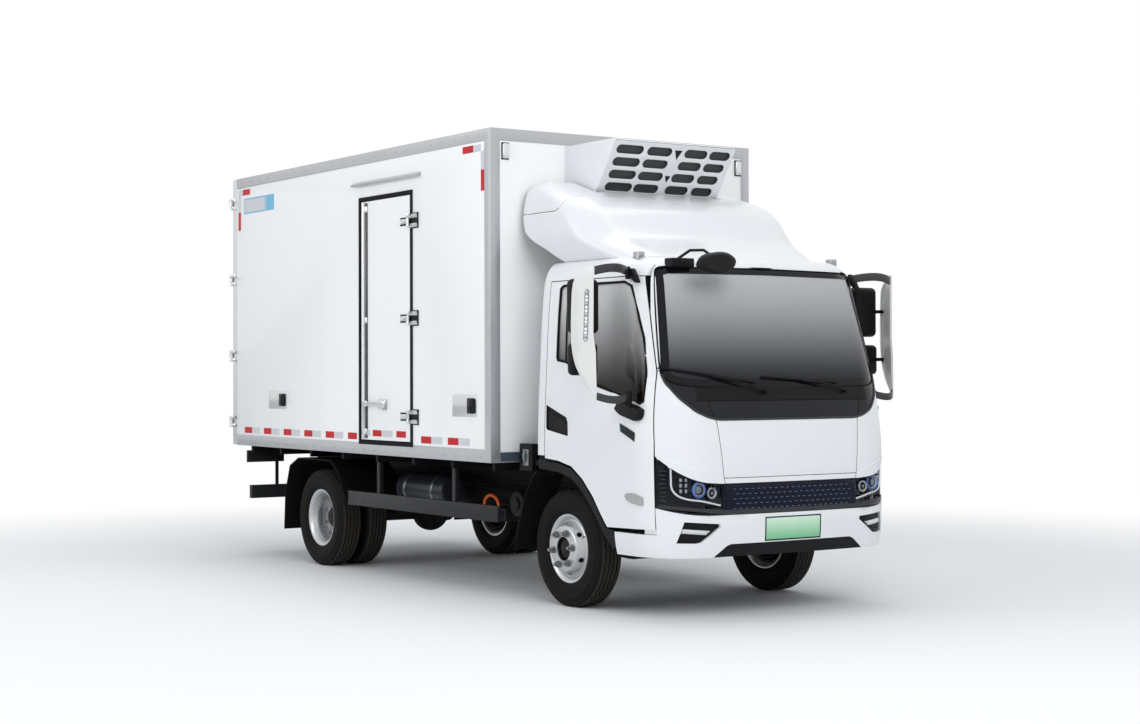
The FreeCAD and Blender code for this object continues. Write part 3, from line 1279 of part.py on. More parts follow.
def mirror(side):
    """Door mirror: two curved arms to a tall blade that carries a main and a lower mirror head."""
    upper = arc_band((fa(722), 1210), (fa(748), 1085), (fa(700), 930), 18.0, 2130, 2190)
    lower = arc_band((fa(768), 1222), (fa(826), 1150), (fa(822), 1030), 16.0, 1348, 1402)
    foot_high = side_prism(from_axle([(640, 2176), (742, 2182), (806, 2084), (770, 2080), (690, 2150)]), 860, 945)
    foot_low = side_prism(from_axle([(636, 1302), (700, 1268), (857, 1226), (905, 1246), (912, 1308), (795, 1348),
                                     (668, 1346)]), 930, 1006)
    elbow = soft_block(fa(796), fa(848), 985, 1052, 1322, 1418, 8.0)
    main_head = soft_block(fa(515), fa(608), 1070, 1278, 1772, 2112, 36.0)
    low_head = soft_block(fa(528), fa(610), 1082, 1280, 1512, 1716, 32.0)
    stalks = [box(fa(560), fa(640), 1225, 1276, 1925, 1965), box(fa(570), fa(650), 1225, 1272, 1600, 1632)]
    shape = fused([blade(), upper, lower, foot_high, foot_low, elbow, main_head, low_head] + stalks)
    shape = shape.cut(cab_form(0.0)).common(door_region(1, -400).fuse(door_region(1, 3)))
    solid = max(shape.Solids, key=lambda s: s.Volume)
    return solid if side > 0 else mirrored(solid)


# Cab interior

def seat(y, width):
    """One seat with its cushion, backrest and headrest."""
    cushion = side_prism(from_axle([(-60, 1060), (380, 1060), (400, 1110), (385, 1165), (-60, 1150)]),
                         y - width / 2, y + width / 2)
    back = side_prism(from_axle([(-60, 1100), (40, 1100), (-30, 1700), (-60, 1745), (-140, 1745), (-160, 1700)]),
                      y - width / 2, y + width / 2)
    head = side_prism(from_axle([(-160, 1750), (-80, 1750), (-86, 1905), (-160, 1915)]), y - 130, y + 130)
    post = box(fa(-150), fa(-100), y - 60, y + 60, 1735, 1760)
    return fused([cushion, back, head, post])


def seats():
    """Driver's seat on the left and a pair for passengers, on one base."""
    solids = []
    for y, width in ((470, 480), (-60, 380), (-500, 440)):
        solids.append(seat(y, width))
    base = box(fa(-180), fa(300), -740, 730, 1018, 1062)
    return fused(solids + [base])


def dashboard(clear):
    """Dashboard across the cab, with the steering column and wheel on the left."""
    outline = [(560, 1080), (640, 1010), (924.7, 1000), (924.7, 1330), (800, 1372), (640, 1360), (560, 1300)]
    body = side_prism(from_axle(outline), -915, 915).common(cab_form(CAB_WALL + 0.3, CAB_WALL)).cut(clear)
    centre = Vector(fa(470), 470, 1400)
    axis = Vector(-0.55, 0, 0.835)
    wheel = Part.makeTorus(205, 15, centre, axis)
    column = rod((fa(470), 470, 1400), (fa(470) + 150, 470, 1400 - 228), 26.0)
    hub = Part.makeCylinder(60, 34, centre - axis * 17, axis)
    spoke = rod((fa(470), 470 - 200, 1400), (fa(470), 470 + 200, 1400), 12.0)
    return fused([body, wheel, column, hub, spoke])


# Underside and guards

def front_mudguard(side):
    """Curved guard behind the front wheel, fixed to the chassis."""
    y0, y1 = (700, 950) if side > 0 else (-950, -700)
    outer = [(-300, 880), (-352, 846), (-456, 700), (-540, 470), (-575, 330)]
    inner = [(-570, 330), (-534, 470), (-450, 696), (-348, 838), (-300, 871)]
    guard = side_prism(from_axle(outer + inner), y0, y1)
    arm_y0, arm_y1 = (RAIL_OUTER, 720) if side > 0 else (-720, -RAIL_OUTER)
    arm = box(fa(-470), fa(-440), arm_y0, arm_y1, 655, 685)
    return fused([guard, arm])


def rear_mudguard(side):
    """Arched guard over the twin wheels with a flap behind."""
    x = REAR_AXLE_X
    y0, y1 = (560, 1060) if side > 0 else (-1060, -560)
    radius = TYRE_RADIUS + 62
    top = 848.0
    outer = [(x + 520, 560), (x + 400, 760), (x + 260, top), (x - 300, top), (x - 455, 780), (x - 540, 560),
             (x - 560, 255)]
    inner = [(x - 552, 255), (x - 532, 562), (x - 449, 774), (x - 296, top - 8), (x + 256, top - 8), (x + 394, 754),
             (x + 512, 560)]
    guard = side_prism(outer + inner, y0, y1)
    a, b = (RAIL_OUTER, 570) if side > 0 else (-570, -RAIL_OUTER)
    arms = [box(x + 396, x + 424, a, b, 690, 718), box(x - 500, x - 472, a, b, 660, 688)]
    return fused([guard] + arms)


def mudguards():
    """Guards of all four wheel places."""
    solids = []
    for side in (-1, 1):
        solids += front_mudguard(side).Solids + rear_mudguard(side).Solids
    return Part.makeCompound(solids)


GUARD_Y = 1050.0


def side_guards():
    """Guard rail along each side between the wheels, on posts from the frame."""
    solids = []
    for side in (-1, 1):
        y0, y1 = min(side * GUARD_Y, side * (GUARD_Y - 30)), max(side * GUARD_Y, side * (GUARD_Y - 30))
        rail = box(fa(-2814), fa(-640), y0, y1, 515, 625)
        parts = [rail]
        for x in (fa(-GUARD_POST), fa(-GUARD_POST) - 2.0 * BEARER_PITCH):
            in0 = min(side * (GUARD_Y - 30), side * (GUARD_Y - 66))
            in1 = max(side * (GUARD_Y - 30), side * (GUARD_Y - 66))
            parts.append(box(x - 22, x + 22, in0, in1, 515, BOX_BOTTOM - BEARER_HEIGHT))
        solids += fused(parts).Solids
    return Part.makeCompound(solids)


def rear_underrun():
    """Underrun bar at the rear on two arms, with lamp brackets above it."""
    x = BOX_REAR_X + 60
    parts = [box(x, x + 50, -1000, 1000, 462, 574)]
    for side in (-1, 1):
        y = side * (RAIL_OUTER + 12)
        parts.append(box(x + 40, x + 110, y - 12, y + 12, 500, RAIL_TOP - 20))
        lamp_y = side * 860
        parts.append(box(x + 4, x + 34, lamp_y - 170, lamp_y + 170, 770, 872))
        parts.append(box(x + 30, x + 44, side * 760 - 14, side * 760 + 14, 560, 800))
    return fused(parts)


def air_tanks():
    """Two compressed air tanks beside the right rail, on straps."""
    y = -RAIL_OUTER - 230
    parts = []
    z = 640.0
    tank = rod((fa(-2660), y, z), (fa(-1965), y, z), 118.0)
    parts.append(tank.makeFillet(30.0, [e for e in tank.Edges if e.Closed]))
    for x in (-2520.0, -2110.0):
        parts.append(rod((fa(x) - 16, y, z), (fa(x) + 16, y, z), 123.0))
        parts.append(box(fa(x) - 16, fa(x) + 16, y + 60, -RAIL_OUTER, z + 30, z + 70))
    return fused(parts)


def power_units():
    """Battery pack between and beside the rails, and the drive motor ahead of the rear axle."""
    inner = RAIL_OUTER - RAIL_FLANGE
    battery = box(fa(-1355), fa(-614), -inner, inner, 470, RAIL_TOP - 12)
    side_pack = box(fa(-2270), fa(-760), RAIL_OUTER, RAIL_OUTER + 520, 430, 800)
    motor = rod((fa(-2250), 0, 560), (fa(-1850), 0, 560), 170.0)
    web = RAIL_OUTER - RAIL_WALL
    seat_block = box(fa(-2250), fa(-1850), -web, web, 690, 712)
    return Part.makeCompound(fused([battery]).Solids + side_pack.Solids + fused([motor, seat_block]).Solids)


def build():
    """Makes every node of the truck."""
    outer, shell = cab_shell()
    band = lamp_band()
    clear = seal_space()
    wall = low_wall()
    save("tyre_front_left", tyre(FRONT_AXLE_X, FRONT_WHEEL_Y))
    save("tyre_front_right", tyre(FRONT_AXLE_X, -FRONT_WHEEL_Y))
    for side, name in ((1, "left"), (-1, "right")):
        save("tyres_rear_" + name, Part.makeCompound([tyre(REAR_AXLE_X, side * REAR_OUTER_Y),
                                                      tyre(REAR_AXLE_X, side * REAR_INNER_Y)]))
        save("wheel_front_" + name, front_wheel(side))
        save("wheels_rear_" + name, rear_wheel(side))
        save("knuckle_" + name, knuckle(side))
        save("cab_door_" + name, cab_door(shell, side))
        save("door_glass_" + name, door_glass(side))
        save("mirror_" + name, mirror(side))
        save("rear_door_" + name, rear_door(side))
    save("front_axle", front_axle())
    save("rear_axle", rear_axle())
    springs = []
    for side in (-1, 1):
        springs += leaf_spring(FRONT_AXLE_X, FRONT_SPRING_HALF, AXLE_Z, side).Solids
        springs += leaf_spring(REAR_AXLE_X, REAR_SPRING_HALF, AXLE_Z + 62, side).Solids
    save("leaf_springs", Part.makeCompound(springs))
    save("frame_ladder", frame_ladder())
    save("cab_rear_mount", cab_rear_mounts())
    save("box_floor", box_floor())
    save("box_front_wall", box_front_wall())
    save("box_left_wall", side_wall(1))
    save("box_right_wall", box_right_wall())
    save("box_roof", box_roof())
    save("edge_rails", edge_rails())
    save("rear_frame", rear_frame())
    save("side_door_frame", side_door_frame())
    save("side_door", side_door())
    save("reefer_unit", reefer_unit())
    save("cab_front", cab_front(shell))
    save("cab_roof", cab_roof(shell))
    save("cab_rear", cab_rear(shell))
    save("cab_floor", cab_floor(clear))
    save("windscreen", windscreen())
    save("cowl_panel", cowl_panel())
    save("headlamps", headlamps(band))
    save("lamp_lenses", lamp_lenses(band))
    save("grille", grille(band))
    save("bumper", bumper(wall))
    save("bumper_skirt", bumper_skirt(wall))
    save("fog_lamps", fog_lamps())
    save("arch_flares", both_sides(arch_flare(1)))
    save("fairing", fairing())
    save("front_mirror", front_mirror())
    save("roof_lamps", roof_lamps())
    save("seats", seats())
    save("dashboard", dashboard(clear))
    save("mudguards", mudguards())
    save("side_guards", side_guards())
    save("rear_underrun", rear_underrun())
    save("air_tanks", air_tanks())
    save("power_units", power_units())


build()
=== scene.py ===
# %% [markdown]
# # Dressing a refrigerated truck
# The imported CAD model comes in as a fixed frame: every panel, wheel and axle is already in
# its place, in metres, with +X forward, +Y to the truck's left and +Z up. This lesson gives
# each of those pieces its finish and adds what is too fine for the CAD: tread, lamps, tape,
# wipers, hinges and the cab's inside.

# %% Load the frame
import json
import math

import bpy
from mathutils import Matrix, Vector
from mathutils.bvhtree import BVHTree

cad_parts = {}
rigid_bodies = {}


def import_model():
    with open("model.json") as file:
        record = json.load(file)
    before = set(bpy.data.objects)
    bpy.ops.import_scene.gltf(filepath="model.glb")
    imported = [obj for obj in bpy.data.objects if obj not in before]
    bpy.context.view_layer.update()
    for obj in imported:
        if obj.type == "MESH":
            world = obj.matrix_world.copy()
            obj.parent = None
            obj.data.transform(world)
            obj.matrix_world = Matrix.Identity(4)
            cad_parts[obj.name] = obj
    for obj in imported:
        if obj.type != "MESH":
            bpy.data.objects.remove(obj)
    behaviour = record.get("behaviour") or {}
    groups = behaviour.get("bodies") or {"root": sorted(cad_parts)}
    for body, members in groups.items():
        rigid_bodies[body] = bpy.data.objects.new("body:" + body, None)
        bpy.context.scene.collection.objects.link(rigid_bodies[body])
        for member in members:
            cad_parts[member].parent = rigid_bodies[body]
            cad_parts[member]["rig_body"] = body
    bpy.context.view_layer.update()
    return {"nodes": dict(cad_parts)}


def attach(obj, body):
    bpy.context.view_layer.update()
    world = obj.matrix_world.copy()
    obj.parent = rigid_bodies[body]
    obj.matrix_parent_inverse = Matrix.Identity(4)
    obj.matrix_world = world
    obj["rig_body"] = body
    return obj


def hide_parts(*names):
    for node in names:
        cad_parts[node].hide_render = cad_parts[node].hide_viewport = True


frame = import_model()
nodes = frame["nodes"]
FRONT_AXLE = 1.8075
REAR_AXLE = FRONT_AXLE - 3.36
WHEEL_HEIGHT = 0.38
BOX_FRONT = FRONT_AXLE - 0.602
BOX_REAR = BOX_FRONT - 4.18
BOX_SIDE = 1.125
RAIL_PROUD = 0.003
FULL_TURN = 2.0 * math.pi
SIDES = (("left", 1.0), ("right", -1.0))


def rel(x):
    """A place measured forward from the front axle, as a place in the frame."""
    return FRONT_AXLE + x


def at(x, y, z):
    """A point whose first measure is taken forward from the front axle."""
    return Vector((FRONT_AXLE + x, y, z))


# %% [markdown]
# ## Small helpers
# A bpy operator works on whatever is selected, so each helper first clears the selection.
# Faces and edges are then picked in code, by where they are. A finished piece has its place
# in its mesh and its object at the origin, as the CAD pieces do.

# %% Helpers for picking and placing
OPS = bpy.ops.mesh
OUTWARDS = (OPS.normals_make_consistent, {"inside": False})
FLIP = (OPS.flip_normals, {})


def deselect():
    """Leaves edit mode and clears the selection."""
    if bpy.context.object and bpy.context.object.mode != "OBJECT":
        bpy.ops.object.mode_set(mode="OBJECT")
    bpy.ops.object.select_all(action="DESELECT")


def pick(piece):
    """Makes one piece the only selected and active one."""
    deselect()
    piece.select_set(True)
    bpy.context.view_layer.objects.active = piece


def settle(piece):
    """Moves the object's place, turn and size into its mesh."""
    pick(piece)
    bpy.ops.object.transform_apply(location=True, rotation=True, scale=True)
    return piece


def edited(piece, *steps, mode=None):
    """Runs some edit mode operators in turn, each on the whole piece."""
    pick(piece)
    bpy.ops.object.mode_set(mode="EDIT")
    if mode:
        OPS.select_mode(type=mode)
    for operator, settings in steps:
        OPS.select_all(action="SELECT")
        operator(**settings)
    bpy.ops.object.mode_set(mode="OBJECT")
    return piece


def edited_faces(piece, wanted, operator, **settings):
    """Runs an edit mode operator on the faces whose centre and normal pass a test."""
    pick(piece)
    for face in piece.data.polygons:
        face.select = wanted(face.center, face.normal)
    for part in (*piece.data.edges, *piece.data.vertices):
        part.select = False
    bpy.ops.object.mode_set(mode="EDIT")
    OPS.select_mode(type="FACE")
    operator(**settings)
    bpy.ops.object.mode_set(mode="OBJECT")
    return piece


def rounded(offset, segments):
    """The step that rounds all edges."""
    return OPS.bevel, {"offset": offset, "segments": segments, "affect": "EDGES"}


def apply_modifier(piece, kind, **settings):
    """Adds a modifier with its settings and applies it."""
    pick(piece)
    modifier = piece.modifiers.new(kind.lower(), kind)
    for key, value in settings.items():
        setattr(modifier, key, value)
    bpy.ops.object.modifier_apply(modifier=modifier.name)
    return piece


def smooth(piece, angle=32.0):
    """Shades a piece smooth, apart from edges sharper than an angle."""
    pick(piece)
    bpy.ops.object.shade_smooth_by_angle(angle=math.radians(angle))
    return piece


def tinted(piece, look):
    """Gives a piece its finish, also before it is joined to others."""
    piece.data.materials.clear()
    piece.data.materials.append(look)
    return piece


def give(piece, look, body):
    """Gives a piece its finish and the body it moves with."""
    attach(tinted(piece, look), body)
    return piece


def paint(piece, look, wanted):
    """Gives a further finish to the faces whose centre and normal pass a test."""
    piece.data.materials.append(look)
    index = len(piece.data.materials) - 1
    for face in piece.data.polygons:
        if wanted(face.center, face.normal):
            face.material_index = index


def cut_line(piece, point, normal):
    """Cuts a piece's faces along a plane, so that two finishes can meet there."""
    return edited(piece, (OPS.bisect, {"plane_co": point, "plane_no": normal}))


def join(pieces, name):
    """Joins several pieces into one and names it."""
    pick(pieces[0])
    for piece in pieces[1:]:
        piece.select_set(True)
    if len(pieces) > 1:
        bpy.ops.object.join()
    pieces[0].name = name
    return pieces[0]


def unite(pieces, name, look, body):
    """Joins pieces, shades them smooth and gives them a finish and a body."""
    return give(smooth(join(pieces, name)), look, body)


def linked(piece):
    """Puts a new object into the scene."""
    bpy.context.scene.collection.objects.link(piece)
    return piece


def copy_of(piece, name):
    """A copy of a piece with a mesh of its own."""
    twin = piece.copy()
    twin.data = piece.data.copy()
    twin.name = name
    return linked(twin)


def mirrored(piece, name):
    """A copy on the truck's other side, with its faces turned outwards again."""
    twin = copy_of(piece, name)
    twin.scale = (1.0, -1.0, 1.0)
    return edited(settle(twin), FLIP)


# %% [markdown]
# ## Starting shapes
# Most pieces start from one of four: a block with softened edges, a round bar, a bent tube
# and a flat outline that is pushed out to a thickness. A wheel or a lamp bowl is a line that
# is spun round an axis.

# %% Helpers for starting shapes
def mesh_piece(name, points, edges=(), faces=()):
    """A new piece from points and the edges or faces between them."""
    deselect()
    mesh = bpy.data.meshes.new(name)
    mesh.from_pydata([Vector(p) for p in points], edges, faces)
    return linked(bpy.data.objects.new(name, mesh))


def block(name, low, high, bevel=0.002, segments=2):
    """A block between two corners with all its edges softened."""
    deselect()
    low, high = Vector(low), Vector(high)
    OPS.primitive_cube_add(size=1.0, location=(low + high) / 2)
    piece = bpy.context.object
    piece.name = name
    piece.scale = high - low
    settle(piece)
    return edited(piece, rounded(bevel, segments)) if bevel else piece


def bar(name, start, end, radius, sides=24, bevel=0.0):
    """A round bar between two points."""
    deselect()
    start, end = Vector(start), Vector(end)
    along = end - start
    OPS.primitive_cylinder_add(vertices=sides, radius=radius, depth=along.length,
                               location=(start + end) / 2)
    piece = bpy.context.object
    piece.name = name
    piece.rotation_mode = "QUATERNION"
    piece.rotation_quaternion = along.to_track_quat("Z", "Y")
    settle(piece)
    if bevel:
        edited_faces(piece, lambda c, n: abs(n.dot(along.normalized())) > 0.9,
                     OPS.bevel, offset=bevel, segments=3, affect="EDGES")
    return piece


def tube(name, points, radius, resolution=6, sides=4, handles="AUTO"):
    """A bent tube through some points, smooth, or straight between them with VECTOR handles."""
    deselect()
    curve = bpy.data.curves.new(name, "CURVE")
    curve.dimensions = "3D"
    curve.bevel_depth = radius
    curve.bevel_resolution = sides
    curve.resolution_u = resolution
    curve.use_fill_caps = True
    line = curve.splines.new("BEZIER")
    line.bezier_points.add(len(points) - 1)
    for knot, place in zip(line.bezier_points, points):
        knot.co = place
        knot.handle_left_type = knot.handle_right_type = handles
    pick(linked(bpy.data.objects.new(name, curve)))
    bpy.ops.object.convert(target="MESH")
    return bpy.context.object


def plate(name, points, push, bevel=0.0, segments=2):
    """A flat outline of points, pushed out by a vector and softened along its edges."""
    steps = [(OPS.extrude_region_move, {"TRANSFORM_OT_translate": {"value": push}}), OUTWARDS]
    if bevel:
        steps.append(rounded(bevel, segments))
    return edited(mesh_piece(name, points, faces=[range(len(points))]), *steps)


def spun(name, points, centre, axis, steps):
    """A line of points spun right round an axis, closed and facing outwards."""
    piece = mesh_piece(name, points, [(i, i + 1) for i in range(len(points) - 1)])
    spin = (OPS.spin, {"steps": steps, "angle": FULL_TURN, "center": centre, "axis": axis})
    return edited(piece, spin, (OPS.remove_doubles, {"threshold": 0.00002}), OUTWARDS, mode="VERT")


def turned(name, profile, centre, out, steps=64):
    """A profile of (radius, distance out) spun about an axle that runs along Y."""
    points = [(centre[0] + r, centre[1] + out * t, centre[2]) for r, t in profile]
    return spun(name, points, centre, (0, 1, 0), steps)


# %% [markdown]
# ## The camera
# The camera's place, direction and lens were worked out from the wheelbase, the wheel rims
# and the box's corners in the picture, so the model lies over the picture to about a pixel.
# The small shifts say that the picture was cropped a little off the lens's centre.

# %% Camera
CAMERA_PLACE = at(10.2604, -7.8814, 1.5274)
CAMERA_RIGHT = Vector((0.555746, 0.831349, -0.002339))
CAMERA_UP = Vector((0.010819, -0.004419, 0.999932))
CAMERA_LOOK = Vector((-0.831282, 0.555733, 0.01145))
PICTURE_WIDTH = 1140.0
LENS_PIXELS = 1895.66
CROP_PIXELS = (17.056, -10.673)
SENSOR = 36.0

camera_data = bpy.data.cameras.new("camera")
camera = linked(bpy.data.objects.new("camera", camera_data))
turn = Matrix((CAMERA_RIGHT, CAMERA_UP, -CAMERA_LOOK)).transposed().to_4x4()
camera.matrix_world = Matrix.Translation(CAMERA_PLACE) @ turn
camera_data.sensor_width = SENSOR
camera_data.lens = LENS_PIXELS * SENSOR / PICTURE_WIDTH
camera_data.shift_x, camera_data.shift_y = (p / PICTURE_WIDTH for p in CROP_PIXELS)
camera_data.clip_end = 200.0
bpy.context.scene.camera = camera
print("lens", round(camera_data.lens, 2), "mm")

# %% [markdown]
# ## Shader nodes
# A material is a chain of nodes. One helper adds a node and sets its inputs: a number or
# colour goes on the socket itself, and another node's output is linked to it.

# %% Helpers for shader nodes
def feed(tree, shader, inputs):
    """Sets a node's inputs, or links them where the value is another node's output."""
    for key, value in inputs.items():
        if isinstance(value, bpy.types.NodeSocket):
            tree.links.new(value, shader.inputs[key])
        else:
            shader.inputs[key].default_value = value
    return shader


def add(tree, kind, inputs, **settings):
    """Adds a shader node with its settings and inputs."""
    made = tree.nodes.new("ShaderNode" + kind)
    for key, value in settings.items():
        setattr(made, key, value)
    return feed(tree, made, inputs)


def math_node(tree, operation, a, b):
    """The output of a sum, product or other calculation."""
    return add(tree, "Math", {0: a, 1: b}, operation=operation).outputs[0]


def material(name):
    """A new material, its node tree, its shader and the piece's own coordinates."""
    made = bpy.data.materials.new(name)
    made.use_nodes = True
    tree = made.node_tree
    place = add(tree, "TexCoord", {}).outputs["Object"]
    return made, tree, tree.nodes["Principled BSDF"], place


# %% [markdown]
# ## Light and floor
# A white vehicle needs soft light that still differs from side to side, or its panels melt
# together. Three large lamps do that: one high in front, one on the near side and one above.
# The white backdrop is only for camera, glossy and glass rays, so it adds no light.

# %% Light and floor
WHITE = (1.0, 1.0, 1.0, 1.0)
FLOOR_FADE = (3.5, 9.0)


def area_light(name, place, target, size, power):
    """A large soft lamp that looks at a point."""
    data = bpy.data.lights.new(name, "AREA")
    data.shape = "RECTANGLE"
    data.size, data.size_y = size
    data.energy = power
    lamp = linked(bpy.data.objects.new(name, data))
    lamp.location = place
    lamp.rotation_mode = "QUATERNION"
    lamp.rotation_quaternion = (Vector(target) - Vector(place)).to_track_quat("-Z", "Y")
    return lamp


world = bpy.data.worlds.new("studio")
bpy.context.scene.world = world
world.use_nodes = True
sky = world.node_tree
lit = feed(sky, sky.nodes["Background"], {"Color": (0.93, 0.96, 1.0, 1.0), "Strength": 0.6})
plain = add(sky, "Background", {"Color": WHITE, "Strength": 1.0})
ray = add(sky, "LightPath", {}).outputs
seen = math_node(sky, "MAXIMUM", ray["Is Camera Ray"], ray["Is Glossy Ray"])
seen = math_node(sky, "MAXIMUM", seen, ray["Is Transmission Ray"])
shown = add(sky, "MixShader", {"Fac": seen, 1: lit.outputs[0], 2: plain.outputs[0]})
feed(sky, sky.nodes["World Output"], {"Surface": shown.outputs[0]})

key = area_light("key_front", (9.5, -3.0, 6.5), (1.0, 0.0, 1.2), (6.0, 4.0), 345.0)
key.visible_glossy = False
area_light("near_side", (0.0, -10.0, 5.0), (-0.5, 0.0, 1.6), (9.0, 4.0), 245.0)
area_light("overhead", (-1.0, 0.5, 9.0), (-0.5, 0.0, 0.0), (8.0, 5.0), 205.0)

deselect()
OPS.primitive_plane_add(size=120.0, location=(0.0, 0.0, 0.0))
floor = bpy.context.object
floor.name = "floor"
pale, tree, shader, place = material("floor_pale")
feed(tree, shader, {"Base Color": (0.86, 0.87, 0.88, 1.0), "Roughness": 0.9})
paper = add(tree, "Emission", {"Color": WHITE, "Strength": 1.0})
away = add(tree, "VectorMath", {0: place}, operation="LENGTH")
fade = add(tree, "MapRange", {"Value": away.outputs["Value"], "From Min": FLOOR_FADE[0],
                              "From Max": FLOOR_FADE[1]}, interpolation_type="SMOOTHSTEP")
ray = add(tree, "LightPath", {}).outputs
share = math_node(tree, "MULTIPLY", fade.outputs["Result"], ray["Is Camera Ray"])
shown = add(tree, "MixShader", {"Fac": share, 1: shader.outputs[0], 2: paper.outputs[0]})
feed(tree, tree.nodes["Material Output"], {"Surface": shown.outputs[0]})
floor.data.materials.append(pale)
bpy.context.scene.view_settings.view_transform = "Standard"

# %% [markdown]
# ## Finishes
# Each finish is one Principled shader. A noise on object coordinates, at the real scale of
# the surface, gives it the faint unevenness of sprayed paint, rolled sheet, cast iron or
# moulded plastic, in its roughness, its height and a little in its colour.

# %% Helper for finishes
def finish(name, colour, rough, metal=0.0, coat=0.0, size=40.0, uneven=0.06, bump=0.0,
           shade=0.04, stretch=(1.0, 1.0, 1.0), shine=0.5):
    """A finish whose roughness, colour and height vary a little over the surface."""
    made, tree, shader, place = material(name)
    scale = add(tree, "Mapping", {"Vector": place, "Scale": stretch})
    noise = add(tree, "TexNoise", {"Vector": scale.outputs["Vector"], "Scale": size,
                                   "Detail": 3.0}).outputs["Fac"]
    level = add(tree, "MapRange", {"Value": noise, "To Min": max(rough - uneven, 0.02),
                                   "To Max": rough + uneven})
    low = [c * (1.0 - shade) for c in colour]
    high = [min(c * (1.0 + shade), 1.0) for c in colour]
    tint = add(tree, "Mix", {}, data_type="RGBA")
    feed(tree, tint, {"Factor": noise, "A": (*low, 1.0), "B": (*high, 1.0)})
    feed(tree, shader, {"Metallic": metal, "Coat Weight": coat, "Coat Roughness": 0.05,
                        "Specular IOR Level": shine, "Roughness": level.outputs["Result"],
                        "Base Color": tint.outputs["Result"]})
    if bump:
        height = add(tree, "Bump", {"Strength": bump, "Distance": 0.001, "Height": noise})
        feed(tree, shader, {"Normal": height.outputs["Normal"]})
    return made


# %% The truck's finishes
white_paint = finish("white_paint", (0.765, 0.785, 0.805), 0.36, coat=0.35, size=6.0,
                     uneven=0.04, shade=0.012)
panel_white = finish("panel_white", (0.88, 0.89, 0.9), 0.36, coat=0.3, size=2.5, shade=0.015)
rail_metal = finish("rail_aluminium", (0.5, 0.51, 0.53), 0.38, metal=0.8, size=60.0,
                    uneven=0.08, shade=0.08, stretch=(0.05, 1.0, 1.0))
steel = finish("stainless_steel", (0.66, 0.67, 0.68), 0.26, metal=1.0, size=90.0, uneven=0.1,
               shade=0.06, stretch=(1.0, 1.0, 0.08))
wheel_silver = finish("wheel_silver", (0.52, 0.53, 0.54), 0.3, metal=0.75, size=90.0,
                      uneven=0.08, bump=0.08, shade=0.1)
chassis_black = finish("chassis_black", (0.006, 0.006, 0.007), 0.52, size=26.0, uneven=0.12,
                       bump=0.2, shade=0.25, shine=0.1)
cast_dark = finish("cast_dark", (0.016, 0.0165, 0.018), 0.58, metal=0.1, size=120.0,
                   uneven=0.1, bump=0.5, shade=0.25, shine=0.2)
guard_grey = finish("guard_grey", (0.016, 0.017, 0.019), 0.46, size=18.0, uneven=0.08,
                    shade=0.15, shine=0.25)
trim_black = finish("trim_black", (0.006, 0.0062, 0.007), 0.48, size=420.0, bump=0.22,
                    shade=0.15, shine=0.16)
gloss_black = finish("gloss_black", (0.005, 0.006, 0.009), 0.14, size=8.0, uneven=0.03,
                     shade=0.05, shine=0.3)
panel_slate = finish("panel_slate", (0.01, 0.011, 0.013), 0.28, size=5.0, uneven=0.04,
                     shade=0.08, shine=0.22)
rubber = finish("seal_rubber", (0.005, 0.005, 0.0055), 0.64, size=300.0, uneven=0.08,
                bump=0.25, shade=0.2, shine=0.12)
tyre_rubber = finish("tyre_rubber", (0.0066, 0.0062, 0.006), 0.66, size=160.0, uneven=0.1,
                     bump=0.35, shade=0.28, shine=0.1)
dash_plastic = finish("dash_plastic", (0.075, 0.08, 0.09), 0.55, size=500.0, bump=0.4,
                      shade=0.1)
seat_cloth = finish("seat_cloth", (0.1, 0.105, 0.12), 0.85, size=700.0, uneven=0.05,
                    bump=0.9, shade=0.25)
tank_paint = finish("tank_blue_grey", (0.03, 0.036, 0.048), 0.34, metal=0.35, size=12.0,
                    shade=0.12)
roof_lamp = finish("roof_lamp", (0.42, 0.43, 0.44), 0.16, metal=0.5, size=50.0, uneven=0.05,
                   shade=0.12)
lamp_clear = finish("lamp_clear", (0.72, 0.74, 0.76), 0.12, metal=0.4, coat=1.0, size=50.0,
                    uneven=0.05, shade=0.06)
grille_blue = finish("grille_blue", (0.004, 0.006, 0.016), 0.26, size=30.0, uneven=0.05,
                     shade=0.15, shine=0.16)
print("finishes", len(bpy.data.materials))

# %% [markdown]
# ## Glass
# The door and windscreen glass is tinted: a dark sheet that lets some of the light through
# and mirrors the studio. Both sheets are also painted paler towards the top, a painted
# reflection of the white studio. The windscreen gets a black printed border as well, and both
# marks are painted by the sheet's own coordinates.

# %% Glass finishes
def rise_over(tree, place, bottom, top):
    """A value that goes from 0 to 1 between two heights."""
    parts = add(tree, "SeparateXYZ", {0: place})
    return add(tree, "MapRange", {"Value": parts.outputs["Z"], "From Min": bottom,
                                  "From Max": top}).outputs["Result"]


def two_colours(tree, rise, low, high, interpolation="LINEAR"):
    """A colour that goes from low to high as a value rises."""
    ramp = add(tree, "ValToRGB", {"Fac": rise})
    ramp.color_ramp.interpolation = interpolation
    for element, colour in zip(ramp.color_ramp.elements, (low, high)):
        element.color = (*colour, 1.0)
    return ramp.outputs["Color"]


def glass(name, low, high, bottom, top, clear):
    """Smoked glass whose grey and clearness change upwards; its paler top is a painted reflection."""
    made, tree, shader, place = material(name)
    rise = rise_over(tree, place, bottom, top)
    see = add(tree, "MapRange", {"Value": rise, "To Min": 1.0 - clear[0],
                                 "To Max": 1.0 - clear[1]})
    feed(tree, shader, {"Roughness": 0.1, "Specular IOR Level": 0.18,
                        "Base Color": two_colours(tree, rise, low, high, "EASE"),
                        "Alpha": see.outputs["Result"]})
    return made


